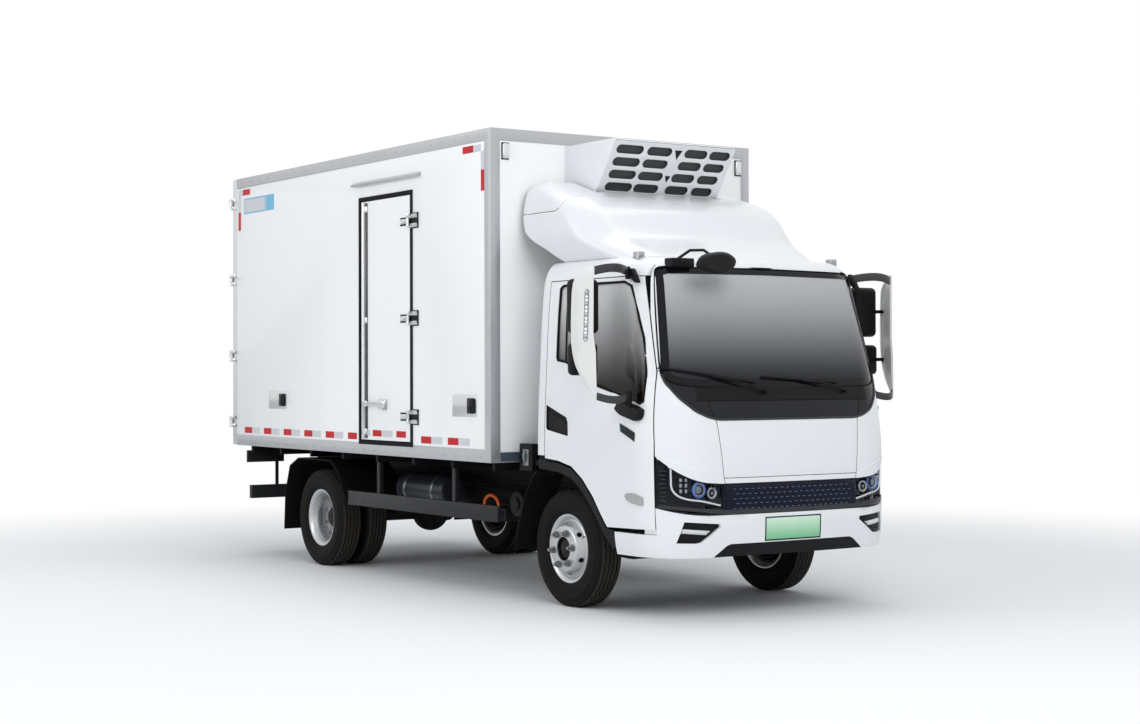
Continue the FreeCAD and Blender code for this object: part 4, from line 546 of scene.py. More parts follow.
def black_border(made, half_outline, width):
    """Prints a black border inside an outline of widths and heights, the same left and right."""
    tree = made.node_tree
    shader = tree.nodes["Principled BSDF"]
    parts = add(tree, "SeparateXYZ", {0: add(tree, "TexCoord", {}).outputs["Object"]}).outputs
    across = add(tree, "Math", {0: parts["Y"]}, operation="ABSOLUTE")
    point = add(tree, "CombineXYZ", {"X": across.outputs[0], "Y": parts["Z"], "Z": 1.0})
    outside = None
    for (y0, z0), (y1, z1) in zip(half_outline, half_outline[1:]):
        length = math.hypot(y1 - y0, z1 - z0)
        ny, nz = -(z1 - z0) / length, (y1 - y0) / length
        side = add(tree, "VectorMath", {0: point.outputs[0], 1: (ny, nz, -(ny * y0 + nz * z0))},
                   operation="DOT_PRODUCT").outputs["Value"]
        outside = math_node(tree, "MAXIMUM", outside, side) if outside else side
    edge = add(tree, "MapRange", {"Value": outside, "From Min": -width - 0.0015,
                                  "From Max": -width + 0.0015}).outputs["Result"]
    inked = add(tree, "Mix", {}, data_type="RGBA")
    feed(tree, inked, {"Factor": edge, "A": shader.inputs["Base Color"].links[0].from_socket,
                       "B": (0.006, 0.0065, 0.008, 1.0)})
    clear = shader.inputs["Alpha"].links[0].from_socket
    feed(tree, shader, {"Base Color": inked.outputs["Result"],
                        "Alpha": math_node(tree, "MAXIMUM", clear, edge)})
    return made


# %% The truck's glass
SCREEN_EDGE = [(0.0, 2.196), (0.74, 2.19), (0.79, 2.176), (0.806, 2.15), (0.874, 1.527),
               (0.866, 1.503), (0.842, 1.476), (0.8, 1.457), (0.735, 1.445), (0.64, 1.44),
               (0.0, 1.44)]
BORDER = 0.046
NIGHT = (0.01, 0.014, 0.028)
# The pale upper colour of both sheets is a painted reflection of the white studio; the dark lower colour is
# the tint.
door_glass = glass("door_glass_tint_painted_reflection", (0.006, 0.004, 0.003), (0.66, 0.66, 0.66), 1.4, 2.16,
                   (0.03, 0.14))
screen_glass = glass("screen_tint_painted_reflection", (0.016, 0.017, 0.02), (0.58, 0.59, 0.6), 1.44, 2.22,
                     (0.16, 0.3))
black_border(screen_glass, SCREEN_EDGE, BORDER)
lamp_glass = glass("lamp_glass", NIGHT, NIGHT, 0.6, 1.1, (0.93, 0.93))
print("glass", door_glass.name, screen_glass.name, lamp_glass.name)

# %% [markdown]
# ## Dressing the CAD pieces
# A CAD mesh is loose triangles, so it can't be shaded smooth. A copy is welded, its flat
# areas are joined again and its hard edges get a narrow rounding where the piece is plain,
# and it stands for the CAD node.

# %% Copies that stand for the CAD pieces
BODY_OF = {n: o["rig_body"] for n, o in nodes.items()}


def dressed(node, look, rounding):
    """A welded, smooth copy of a CAD node that stands for it."""
    piece = nodes[node].copy()
    piece.data = nodes[node].data.copy()
    for key in list(piece.keys()):
        del piece[key]
    piece.parent = None
    piece.matrix_world = Matrix.Identity(4)
    piece.name = node + "_skin"
    weld = (OPS.remove_doubles, {"threshold": 0.00001})
    flatten = (OPS.dissolve_limited, {"angle_limit": math.radians(0.5)})
    edited(linked(piece), *((weld, flatten) if rounding else (weld,)))
    if rounding:
        apply_modifier(piece, "BEVEL", width=rounding, segments=2, limit_method="ANGLE",
                       angle_limit=math.radians(50.0))
    smooth(piece, 30.0)
    if not rounding:
        apply_modifier(piece, "WEIGHTED_NORMAL", weight=100, keep_sharp=True)
    give(piece, look, BODY_OF[node])
    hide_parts(node)
    return piece


LOOKS = (
    (white_paint, 0.0, "cab_front cab_roof cab_rear cab_door_left cab_door_right bumper fairing"),
    (white_paint, 0.004, "reefer_unit"),
    (trim_black, 0.0, "bumper_skirt arch_flares fog_lamps"),
    (panel_slate, 0.0, "cowl_panel"),
    (gloss_black, 0.0, "headlamps"),
    (lamp_glass, 0.0, "lamp_lenses"),
    (grille_blue, 0.0, "grille"),
    (chassis_black, 0.0, "cab_floor"),
    (dash_plastic, 0.0, "dashboard"),
    (trim_black, 0.0, "front_mirror"),
    (roof_lamp, 0.002, "roof_lamps"),
    (door_glass, 0.0, "door_glass_left door_glass_right"),
    (screen_glass, 0.0, "windscreen"),
    (panel_white, 0.002, "box_left_wall box_right_wall box_front_wall box_roof"),
    (chassis_black, 0.002, "box_floor"),
    (rail_metal, 0.0025, "edge_rails"),
    (steel, 0.0, "rear_frame"),
    (rubber, 0.0, "side_door_frame"),
    (panel_white, 0.0, "side_door rear_door_left rear_door_right"),
    (wheel_silver, 0.0, "wheel_front_left wheel_front_right wheels_rear_left wheels_rear_right"),
    (cast_dark, 0.0, "knuckle_left knuckle_right front_axle rear_axle leaf_springs"),
    (chassis_black, 0.0, "frame_ladder"),
    (chassis_black, 0.003, "cab_rear_mount"),
    (chassis_black, 0.004, "power_units"),
    (tank_paint, 0.0, "air_tanks"),
    (guard_grey, 0.004, "side_guards rear_underrun"),
    (rubber, 0.0, "mudguards"),
)
SKINS = {node: dressed(node, look, rounding)
         for look, rounding, names in LOOKS for node in names.split()}
print("dressed", len(SKINS), "left", sorted(set(nodes) - set(SKINS)))

# %% [markdown]
# ## The CAD's surface as a place to put things
# Strips, seams and lamps lie on curved panels. A ray shot at the CAD faces says where the
# panel is at a given width and height, so each small piece sits on it from any side.

# %% Helpers that find the CAD surface
def search_tree(*names):
    """A search tree over the faces of some CAD nodes."""
    points, faces = [], []
    for name in names:
        mesh = nodes[name].data
        start = len(points)
        points += [v.co.copy() for v in mesh.vertices]
        faces += [[start + i for i in f.vertices] for f in mesh.polygons]
    return BVHTree.FromPolygons(points, faces)


NOSE = search_tree("cab_front", "windscreen", "cowl_panel", "bumper", "bumper_skirt", "lamp_lenses",
                   "grille", "cab_roof")
FLANK = search_tree("cab_door_right", "cab_front", "cab_rear", "bumper", "door_glass_right")
FOG = search_tree("fog_lamps")
FORWARD = Vector((1.0, 0.0, 0.0))
LEFTWARD = Vector((0.0, 1.0, 0.0))


def met(tree, start, way, near):
    """Where a ray meets a surface, or else the surface's nearest point to a place."""
    return tree.ray_cast(Vector(start), way)[0] or tree.find_nearest(Vector(near))[0]


def on_nose(y, z, lift=0.0):
    """The point of the truck's front at a width and height, a little in front of the panel."""
    return Vector((met(NOSE, (4.0, y, z), -FORWARD, at(1.0, y, z)).x + lift, y, z))


def on_fog(y, z, lift):
    """The point of the fog lamp insert at a width and height, a little in front of it."""
    return Vector((met(FOG, (4.0, y, z), -FORWARD, at(1.1, y, z)).x + lift, y, z))


def on_flank(x, z, lift=0.0):
    """The point of the cab's right side at a length and height, a little outside the panel."""
    return Vector((x, met(FLANK, (x, -3.0, z), LEFTWARD, (x, -0.95, z)).y - lift, z))


def quad_sheet(name, rows):
    """A sheet of four-sided faces through rows of points."""
    count = len(rows[0])
    quads = [(r * count + k, r * count + k + 1, (r + 1) * count + k + 1, (r + 1) * count + k)
             for r in range(len(rows) - 1) for k in range(count - 1)]
    return mesh_piece(name, [p for row in rows for p in row], faces=quads)


def sheet_between(name, edge_a, edge_b, thickness):
    """A thin sheet between two rows of points."""
    sheet = quad_sheet(name, (edge_a, edge_b))
    return edited(apply_modifier(sheet, "SOLIDIFY", thickness=thickness, offset=0.0), OUTWARDS)


def grid_sheet(name, rows, thickness, outward):
    """A sheet through rows of points, with its thickness behind the side that looks outward."""
    sheet = edited(quad_sheet(name, rows), OUTWARDS, mode="FACE")
    if sum(f.normal.dot(outward) for f in sheet.data.polygons) < 0.0:
        edited(sheet, FLIP)
    return apply_modifier(sheet, "SOLIDIFY", thickness=thickness, offset=-1.0)


def spaced(a, b, count):
    """Evenly spaced values from a to b."""
    return [a + (b - a) * i / (count - 1) for i in range(count)]


print("front at plate height", round(on_nose(0.0, 0.554).x, 3))

# %% [markdown]
# ## Pieces with more than one finish
# A few CAD nodes are one solid but not one finish: a pocket in the door is black, a hinge is
# steel on a white door. The faces are told apart by where they are and which way they look.

# %% Second finishes
lining = finish("roof_lining", (0.36, 0.365, 0.37), 0.85, size=500.0, uneven=0.05, bump=0.5, shade=0.06,
                shine=0.2)
paint(SKINS["side_door"], steel, lambda c, n: c.y < -BOX_SIDE - 0.0045)
paint(SKINS["side_door_frame"], steel, lambda c, n: c.y < -BOX_SIDE - 0.0065)
for side, sign in SIDES:
    paint(SKINS["rear_door_" + side], steel, lambda c, n: c.x < BOX_REAR - 0.0005)
COWL_STEP = 1.357
cut_line(SKINS["cowl_panel"], (0.0, 0.0, COWL_STEP), (0.0, 0.0, 1.0))
paint(SKINS["cowl_panel"], trim_black, lambda c, n: c.z > COWL_STEP and abs(c.y) < 0.7)
paint(SKINS["roof_lamps"], trim_black, lambda c, n: c.z < 2.238)

POCKET = [(-0.149, 1.319), (0.089, 1.241), (0.105, 1.205), (0.11, 1.117), (-0.133, 1.153), (-0.147, 1.169)]
CAB_MIDDLE = at(0.35, 0.0, 1.45)
HOOD_LINES = [((0.584, 1.262), (0.545, 0.88)), ((0.545, 0.88), (0.535, 0.836)),
              ((-0.1, 0.88), (0.545, 0.88)), ((0.862, 1.541), (1.0, 1.541))]
EAR_LINE = [(-0.7, 2.598), (-0.15, 2.6), (-0.112, 2.612), (-0.09, 2.64), (-0.06, 2.72), (-0.02, 2.78),
            (0.06, 2.86)]


def inside_outline(a, b, outline):
    """Whether a point lies inside a closed flat outline."""
    odd = False
    for (a0, b0), (a1, b1) in zip(outline, outline[1:] + outline[:1]):
        if (b0 > b) != (b1 > b) and a < (a1 - a0) * (b - b0) / (b1 - b0) + a0:
            odd = not odd
    return odd


def near_line(a, b, start, end, reach):
    """Whether a flat point lies within reach of a straight line."""
    along = Vector(end) - Vector(start)
    place = Vector((a, b)) - Vector(start)
    t = min(max(place.dot(along) / along.length_squared, 0.0), 1.0)
    return (place - along * t).length < reach


def faces_inward(c, n):
    """Whether a face of the cab's shell looks into the cab."""
    return (c - CAB_MIDDLE).normalized().dot(n) < -0.12


for node in ("cab_front", "cab_roof", "cab_rear", "cab_door_left", "cab_door_right"):
    paint(SKINS[node], lining, faces_inward)
for side, sign in SIDES:
    door = SKINS["cab_door_" + side]
    paint(door, rubber, lambda c, n: abs(n.y) < 0.3)
    paint(door, trim_black, lambda c, n: inside_outline(c.x - FRONT_AXLE, c.z, POCKET)
          and not faces_inward(c, n))
paint(SKINS["cab_front"], rubber, lambda c, n: (n.x < -0.7 and abs(c.y) > 0.8)
      or any(near_line(abs(c.y), c.z, a, b, 0.0023) for a, b in HOOD_LINES))
paint(SKINS["fairing"], rubber, lambda c, n: abs(c.y) > 0.63 and any(
    near_line(c.x - FRONT_AXLE, c.z, a, b, 0.0024) for a, b in zip(EAR_LINE, EAR_LINE[1:])))
FACE_TOP = at(-0.03, 0.0, 3.04)
FACE_OUT = Vector((0.257, 0.0, -0.175)).normalized()
mesh_dark = finish("vent_mesh", (0.045, 0.047, 0.05), 0.55, size=900.0, uneven=0.08, bump=0.9, shade=0.5)
paint(SKINS["reefer_unit"], mesh_dark, lambda c, n: -0.03 < (c - FACE_TOP).dot(FACE_OUT) < -0.001
      and rel(-0.34) < c.x < rel(0.0) and c.z < 3.09 and abs(c.y) < 0.517 and c.z > 2.6)
print("painted", len(SKINS))

# %% [markdown]
# ## Tyres
# A truck tyre has four zigzag grooves round its tread, a shoulder, rings on its side and a
# bead against the rim. Half of its section is drawn, mirrored, and spun about the axle. Then
# the groove edges are pushed sideways in turn, which makes the zigzag.

# %% Tyres
TYRE_HALF = [(0.2256, 0.075), (0.231, 0.083), (0.238, 0.0868), (0.246, 0.088), (0.25, 0.0918),
             (0.256, 0.0925), (0.26, 0.0948), (0.28, 0.0972), (0.3, 0.098), (0.318, 0.0968),
             (0.3215, 0.0982), (0.326, 0.0974), (0.33, 0.095), (0.344, 0.092), (0.356, 0.0878),
             (0.3585, 0.0888), (0.3625, 0.0878), (0.368, 0.0838), (0.374, 0.079), (0.3785, 0.0745),
             (0.38, 0.0715), (0.38, 0.0492), (0.3715, 0.0478), (0.3715, 0.0422), (0.38, 0.0408),
             (0.38, 0.0192), (0.3715, 0.0178), (0.3715, 0.0122), (0.38, 0.0108), (0.38, 0.0)]
TYRE_STEPS = 144
TREAD_START = 0.3788
FRONT_OUT = 0.825
TWIN_OUTER, TWIN_INNER = 0.925, 0.695
ZIGZAG = (0.0032, 0.0032, -0.0032, -0.0032)
GROOVE_TOP = 0.3705
GROOVES = ((0.01, 0.02), (0.04, 0.05))
tread_worn = finish("tread_worn", (0.034, 0.03, 0.025), 0.72, size=220.0, uneven=0.08, bump=0.35, shade=0.3,
                    shine=0.2)


def from_axle(point, axle):
    """How far a point is from an axle, seen from the truck's side."""
    return math.hypot(point.x - axle, point.z - WHEEL_HEIGHT)


def tyre(name, axle, y):
    """One tyre, its groove edges pushed sideways in turn round the wheel."""
    section = TYRE_HALF + [(r, -t) for r, t in TYRE_HALF[-2::-1]] + [TYRE_HALF[0]]
    centre = Vector((axle, y, WHEEL_HEIGHT))
    piece = turned(name, section, centre, 1.0, TYRE_STEPS)
    for vertex in piece.data.vertices:
        place = vertex.co - centre
        if math.hypot(place.x, place.z) > GROOVE_TOP and any(a < abs(place.y) < b for a, b in GROOVES):
            step = round(math.atan2(place.z, place.x) / (FULL_TURN / TYRE_STEPS))
            vertex.co.y += ZIGZAG[step % len(ZIGZAG)]
    return piece


def give_tyre(piece, body, node, axle):
    """Gives a tyre its rubber and worn tread, and lets it stand for its CAD node."""
    give(smooth(piece, 38.0), tyre_rubber, body)
    paint(piece, tread_worn, lambda c, n: from_axle(c, axle) > TREAD_START and abs(n.y) < 0.5)
    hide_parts(node)


for side, sign in SIDES:
    front = tyre("tyre_tread_front_" + side, FRONT_AXLE, sign * FRONT_OUT)
    give_tyre(front, "front_wheel_" + side, "tyre_front_" + side, FRONT_AXLE)
    twins = [tyre("tread", REAR_AXLE, sign * y) for y in (TWIN_OUTER, TWIN_INNER)]
    give_tyre(join(twins, "tyre_treads_rear_" + side), "rear_wheels_" + side, "tyres_rear_" + side,
              REAR_AXLE)
print("tyre faces", len(front.data.polygons))

# %% [markdown]
# ## Wheel discs, nuts and studs
# The front discs stand out past the rim: a flat ring for the nuts, a steep side with six round
# holes and a foot that meets the rim. Each wheel hangs on six studs with a washer, a six-sided
# nut and a threaded end. A short valve stem sits in the rim.

# %% Wheel discs, nuts and studs
BOLT_RING = 0.111125
FIRST_STUD = math.radians(7.0)
nut_steel = finish("nut_steel", (0.26, 0.265, 0.27), 0.3, metal=0.85, size=120.0, uneven=0.1, bump=0.1,
                   shade=0.2)
DISC_PROFILE = [(0.0775, 0.1165), (0.079, 0.119), (0.14, 0.119), (0.148, 0.1165), (0.154, 0.1095),
                (0.174, 0.062), (0.179, 0.055), (0.186, 0.051), (0.195, 0.05), (0.195, 0.044),
                (0.184, 0.044), (0.174, 0.048), (0.168, 0.057), (0.149, 0.104), (0.14, 0.111),
                (0.0775, 0.111), (0.0775, 0.1165)]
HUB_PROFILE = [(0.0, 0.113), (0.024, 0.113), (0.029, 0.111), (0.031, 0.106), (0.036, 0.1), (0.06, 0.097),
               (0.07, 0.093), (0.0745, 0.086), (0.0745, 0.04), (0.0, 0.04)]

STUD_PARTS = ((0.006, 0.0245, 28, 0.0015), (0.03, 0.0205, 6, 0.002), (0.046, 0.0115, 18, 0.002))


def round_wheel(k, start):
    """The direction to the k-th of six places round a wheel."""
    angle = start + FULL_TURN * k / 6.0
    return Vector((math.cos(angle), 0.0, math.sin(angle)))


def give_studs(name, body, axle, y, valve_y, out):
    """Six washers, nuts and stud ends that stand out along the axle, and a bent valve stem."""
    pieces = []
    for k in range(6):
        foot = Vector((axle, y, WHEEL_HEIGHT)) + BOLT_RING * round_wheel(k, FIRST_STUD)
        for reach, radius, sides, bevel in STUD_PARTS:
            pieces.append(bar("stud", foot, foot + LEFTWARD * out * reach, radius, sides, bevel))
    nuts = smooth(join(pieces, "studs"), 30.0)
    stem = [Vector((axle + 0.15 + x, valve_y + out * along, WHEEL_HEIGHT + 0.085 + z))
            for x, along, z in ((0.0, 0.0, 0.0), (0.004, 0.03, 0.002), (0.014, 0.052, 0.008))]
    give(join([nuts, tube("valve", stem, 0.0045, 4, 2)], name), nut_steel, body)


def front_disc(name, x, y, out):
    """The outer disc of a front wheel with six round holes cut square to its steep side."""
    centre = Vector((x, y, WHEEL_HEIGHT))
    disc = turned(name, DISC_PROFILE, centre, out, 96)
    cutters = []
    for k in range(6):
        way = round_wheel(k, FIRST_STUD + math.pi / 6.0)
        middle = centre + way * 0.165 + LEFTWARD * out * 0.082
        along = way * 0.91 + LEFTWARD * out * 0.41
        cutters.append(bar("cutter", middle - along * 0.022, middle + along * 0.022, 0.0178, 32))
    cutter = join(cutters, "cutter")
    apply_modifier(disc, "BOOLEAN", object=cutter, operation="DIFFERENCE", solver="EXACT")
    bpy.data.objects.remove(cutter)
    return smooth(disc, 34.0)


for side, sign in SIDES:
    middle, body, slot = sign * FRONT_OUT, "front_wheel_" + side, "wheel_silver"
    give_studs("wheel_studs_front_" + side, body, FRONT_AXLE, middle + sign * 0.1185,
               sign * (FRONT_OUT + 0.03), sign)
    give(front_disc("wheel_disc_front_" + side, FRONT_AXLE, middle, sign), wheel_silver, body)
    cap = turned("wheel_hub_front_" + side, HUB_PROFILE, (FRONT_AXLE, middle, WHEEL_HEIGHT), sign)
    give(smooth(cap), cast_dark, body)
    give_studs("wheel_studs_rear_" + side, "rear_wheels_" + side, REAR_AXLE, sign * (TWIN_OUTER - 0.103),
               sign * (TWIN_OUTER - 0.055), sign)
    paint(SKINS["wheel_front_" + side], cast_dark, lambda c, n: from_axle(c, FRONT_AXLE) < 0.176)
    paint(SKINS["wheels_rear_" + side], cast_dark, lambda c, n: from_axle(c, REAR_AXLE) < 0.079
          or (from_axle(c, REAR_AXLE) < 0.161 and abs(c.y) < TWIN_OUTER - 0.128))
print("studs", 6 * 4)

# %% [markdown]
# ## Headlamps
# Behind the clear cover stand a projector in a blue ring, a smaller lamp with a bright bowl,
# six small square reflectors in two columns, and a light guide that comes down from a bright
# square and turns in along the bottom. A polished strip lies along the lamp's top edge.

# %% Headlamps
lamp_chrome = finish("lamp_chrome", (0.5, 0.52, 0.56), 0.16, metal=0.7, size=60.0, uneven=0.04, shade=0.05)
guide_white = finish("guide_white", (0.86, 0.89, 0.93), 0.2, coat=1.0, size=30.0, uneven=0.05, shade=0.03)
eye_glass = finish("eye_glass", (0.16, 0.19, 0.26), 0.06, coat=0.6, size=30.0, uneven=0.03, shade=0.2)
ring_blue = finish("ring_blue", (0.07, 0.155, 0.42), 0.3, shine=0.3, size=40.0, uneven=0.05, shade=0.12)
lamp_dark = finish("lamp_dark", (0.02, 0.023, 0.03), 0.34, coat=0.5, size=90.0, uneven=0.08, shade=0.15)
GUIDE_ROUTE = [(0.865, 0.95), (0.863, 0.886), (0.858, 0.818), (0.838, 0.784), (0.805, 0.763),
               (0.688, 0.741), (0.56, 0.712)]
ROUND_LAMPS = ((0.714, 0.812, 0.029, 0.042), (0.622, 0.79, 0.019, 0.035))
SQUARES = [(y, z) for y in (0.812, 0.783) for z in (0.873, 0.839, 0.805)]


def lamp_bowl(name, y, z, inner, outer, depth):
    """A bowl about the truck's length: a rim, a cone inwards and a flat bottom."""
    face = on_nose(y, z, -depth).x
    rings = [(outer, -0.012), (outer, 0.0), (outer - 0.004, 0.003), (outer - 0.008, 0.0), (inner, -0.012)]
    bowl = spun(name, [(face + t, y + r, z) for r, t in rings], (face, y, z), (1, 0, 0), 40)
    return apply_modifier(bowl, "SOLIDIFY", thickness=0.002, offset=0.0)


def lens_dome(name, y, z, radius, depth):
    """A bulged glass lens that looks forward."""
    deselect()
    face = on_nose(y, z, -depth).x
    OPS.primitive_uv_sphere_add(segments=32, ring_count=16, radius=radius, location=(face, y, z))
    piece = bpy.context.object
    piece.name = name
    piece.scale = (0.55, 1.0, 1.0)
    return settle(piece)


for side, sign in SIDES:
    rings, bowls, lenses = [], [], []
    for y, z, inner, outer in ROUND_LAMPS:
        bowls.append(lamp_bowl("bowl", sign * y, z, inner, outer, 0.013))
        lenses.append(lens_dome("lens", sign * y, z, inner * 0.92, 0.02))
    y, z, inner, outer = ROUND_LAMPS[0]
    ring = lamp_bowl("blue_ring", sign * y, z, outer - 0.002, outer + 0.007, 0.009)
    ring.name = "lamp_ring_" + side
    give(smooth(ring), ring_blue, "cab")
    for sy, sz in SQUARES:
        face = on_nose(sign * sy, sz, -0.02).x
        bowls.append(block("square", (face - 0.012, sign * sy - 0.0085, sz - 0.0115),
                           (face, sign * sy + 0.0085, sz + 0.0115), 0.002))
    unite(bowls, "lamp_bowls_" + side, lamp_chrome, "cab")
    unite(lenses, "lamp_eyes_" + side, eye_glass, "cab")
    route = [on_nose(sign * y, z, -0.016) for y, z in GUIDE_ROUTE]
    guide = tube("guide", route, 0.0062, 8, 3)
    top = on_nose(sign * 0.865, 0.962, -0.014)
    bright = block("bright", top - Vector((0.01, 0.016, 0.016)), top + Vector((0.002, 0.016, 0.016)), 0.004)
    give(smooth(join([guide, bright], "lamp_guide_" + side)), guide_white, "cab")
    upper = [on_nose(sign * y, 0.881 + (y - 0.545) * 0.335, 0.001) for y in spaced(0.552, 0.925, 14)]
    lower = [on_nose(p.y, p.z - 0.0085, 0.001) for p in upper]
    give(smooth(sheet_between("lamp_brow_" + side, upper, lower, 0.002)), guide_white, "cab")
    ribs = [tube("rib", [on_nose(sign * y, z, -0.018) for y in spaced(0.885, 0.925, 5)], 0.0035, 2, 2)
            for z in spaced(0.72, 0.928, 9)]
    unite(ribs, "lamp_ribs_" + side, lamp_dark, "cab")
print("lamp pieces", 2 * 6)

# %% [markdown]
# ## Wipers, cowl and screen edge
# Two wipers park on the black strip under the glass: a bent arm from a pivot cap, and a thin
# blade with a rubber lip. The panel under them has a rounded grey lip along its lower edge
# and two fine seams beside its middle part.

# %% Wipers, cowl and screen edge
COWL_LIP = [(0.873, 1.515), (0.86, 1.462), (0.848, 1.44), (0.826, 1.402), (0.8, 1.365), (0.76, 1.326),
            (0.72, 1.292), (0.68, 1.272), (0.64, 1.256), (0.605, 1.247), (0.57, 1.24), (0.48, 1.238),
            (0.38, 1.238), (0.28, 1.238), (0.18, 1.238), (0.09, 1.238), (0.0, 1.238)]
lip_grey = finish("lip_grey", (0.03, 0.031, 0.034), 0.34, size=60.0, uneven=0.06, bump=0.1, shade=0.12,
                  shine=0.3)


def wiper(name, pivot, elbow, blade_start, blade_end):
    """One wiper: pivot cap, bent arm, blade and rubber lip, given by widths and heights."""
    cap = on_nose(*pivot)
    pieces = [bar("cap", cap - Vector((0.01, 0, 0)), cap + Vector((0.03, 0, 0.006)), 0.016, 24, 0.004)]
    tip = ((blade_start[0] + blade_end[0]) / 2.0, (blade_start[1] + blade_end[1]) / 2.0)
    arm = [cap + Vector((0.024, 0, 0)), on_nose(*elbow, 0.034), on_nose(*tip, 0.026)]
    pieces.append(tube("arm", arm, 0.0065, 10, 3))
    stretch = [on_nose(blade_start[0] + (blade_end[0] - blade_start[0]) * t,
                       blade_start[1] + (blade_end[1] - blade_start[1]) * t, 0.0)
               for t in spaced(0.0, 1.0, 13)]
    back = [p + Vector((0.022, 0.0, 0.003)) for p in stretch]
    front = [p + Vector((0.004, 0.0, -0.002)) for p in stretch]
    pieces.append(sheet_between("rubber", back, front, 0.004))
    pieces.append(tube("blade", back, 0.0055, 3, 2))
    return smooth(join(pieces, name))


wipers = [wiper("wiper_right", (-0.18, 1.41), (-0.3, 1.448), (-0.25, 1.462), (-0.905, 1.556)),
          wiper("wiper_left", (0.5, 1.41), (0.38, 1.446), (0.44, 1.46), (-0.19, 1.5))]
for piece in wipers:
    give(piece, trim_black, "cab")


def nose_route(half, lift):
    """A route over the nose from its left half, drawn from the side to the middle, and back."""
    return [on_nose(y, z, lift) for y, z in half] + [on_nose(-y, z, lift) for y, z in half[-2::-1]]


give(smooth(tube("cowl_lip", nose_route(COWL_LIP, 0.0), 0.0075, 4, 3)), lip_grey, "cab")
seams = []
for sign in (-1.0, 1.0):
    seams.append(tube("seam", [on_nose(sign * (0.625 - t * 0.03), 1.354 - t * 0.106, 0.0)
                               for t in spaced(0, 1, 5)], 0.0022, 2, 2))
seams.append(tube("seam", [on_nose(y, 1.354, 0.0) for y in spaced(-0.7, 0.7, 21)], 0.003, 2, 2))
give(join(seams, "cowl_seams"), rubber, "cab")
bead = nose_route(SCREEN_EDGE, -0.001)
del bead[len(SCREEN_EDGE) - 1]
give(smooth(tube("screen_seal", bead, 0.0055, 6, 2)), rubber, "cab")
print("wipers", len(wipers))

# %% [markdown]
# ## Number plate, fog lamp trim and grille edge
# The plate is a pressed sheet, pale green that gets deeper downwards, in a thin black frame,
# and it stays blank. Each bumper recess holds three strips and a bright bar. Under the grille
# runs a slate grey strip.

# %% Number plate, fog lamp trim and grille edge
plate_green, tree, shader, place = material("plate_green")
rise = rise_over(tree, place, 0.49, 0.62)
grain = add(tree, "TexNoise", {"Vector": place, "Scale": 900.0})
bump = add(tree, "Bump", {"Strength": 0.12, "Distance": 0.0005, "Height": grain.outputs["Fac"]})
feed(tree, shader, {"Roughness": 0.38, "Normal": bump.outputs["Normal"],
                    "Base Color": two_colours(tree, rise, (0.16, 0.5, 0.25), (0.62, 0.82, 0.66))})

PLATE_HALF, PLATE_LOW, PLATE_HIGH = 0.225, 0.484, 0.626
NOSE_END = max(v.co.x for n in ("bumper", "cab_front") for v in SKINS[n].data.vertices)


def on_bumper(y, z, lift):
    """A point just off the bumper that never goes past the truck's foremost point."""
    place = on_nose(y, z, lift)
    return Vector((min(place.x, NOSE_END), y, z))


PLATE_ACROSS = spaced(-PLATE_HALF, PLATE_HALF, 25)
PLATE_UP = spaced(PLATE_LOW, PLATE_HIGH, 9)
EDGE = 0.004
FOG_BAR = [(0.815, 0.577), (0.635, 0.563), (0.667, 0.533), (0.823, 0.546)]


def bumper_sheet(name, widths, heights, lift, thickness):
    """A thin sheet that lies on the bumper over some widths and heights."""
    return grid_sheet(name, [[on_bumper(y, z, lift) for y in widths] for z in heights], thickness, FORWARD)


give(smooth(bumper_sheet("number_plate", PLATE_ACROSS, PLATE_UP, 0.0012, 0.001)), plate_green, "cab")
across = spaced(-PLATE_HALF - EDGE, PLATE_HALF + EDGE, 25)
edges = [bumper_sheet("edge", across, (z - EDGE, z + EDGE), 0.0022, 0.002) for z in (PLATE_LOW, PLATE_HIGH)]
edges += [bumper_sheet("edge", (y - EDGE, y + EDGE), PLATE_UP, 0.0022, 0.002)
          for y in (-PLATE_HALF, PLATE_HALF)]
unite(edges, "plate_frame", trim_black, "cab")
fog_silver = finish("fog_silver", (0.66, 0.68, 0.7), 0.2, metal=0.5, size=60.0, uneven=0.05, shade=0.06)
paint(SKINS["fog_lamps"], fog_silver, lambda c, n: inside_outline(abs(c.y), c.z, FOG_BAR))
dash_blue = finish("dash_blue", (0.075, 0.11, 0.2), 0.3, metal=0.4, size=60.0, uneven=0.06, shade=0.1)
dash = block("dash", (-0.0015, -0.0128, -0.0032), (0.0015, 0.0128, 0.0032), 0.0008)
dashes = []
for row in range(5):
    z = 0.69 + row * 0.03
    for i in range(21):
        y = (i - 10) * 0.046 + (0.023 if row % 2 else 0.0)
        if abs(y) < 0.5:
            piece = copy_of(dash, "dash_copy")
            piece.location = ((on_nose(y, z - 0.011).x + on_nose(y, z + 0.011).x) / 2 - 0.0035, y, z)
            dashes.append(piece)
bpy.data.objects.remove(dash)
give(settle(join(dashes, "grille_dashes")), dash_blue, "cab")
for side, sign in SIDES:
    strips = []
    for k, (inner, outer, z) in enumerate(((0.62, 0.8, 0.604), (0.64, 0.8, 0.59), (0.71, 0.83, 0.508))):
        top = [on_fog(sign * y, z, 0.004) for y in spaced(inner, outer, 7)]
        low = [p - Vector((0.004, 0.0, 0.006)) for p in top]
        strips.append(sheet_between("strip", top, low, 0.003))
    unite(strips, "fog_strips_" + side, panel_slate, "cab")
    top = [on_nose(sign * y, 0.684 + max(y - 0.535, 0.0) * 0.09, 0.0012) for y in spaced(0.0, 0.925, 30)]
    low = [on_nose(sign * y, 0.655 + max(y - 0.535, 0.0) * 0.12, 0.0012) for y in spaced(0.0, 0.925, 30)]
    give(smooth(sheet_between("band_foot_" + side, top, low, 0.0016)), lip_grey, "cab")
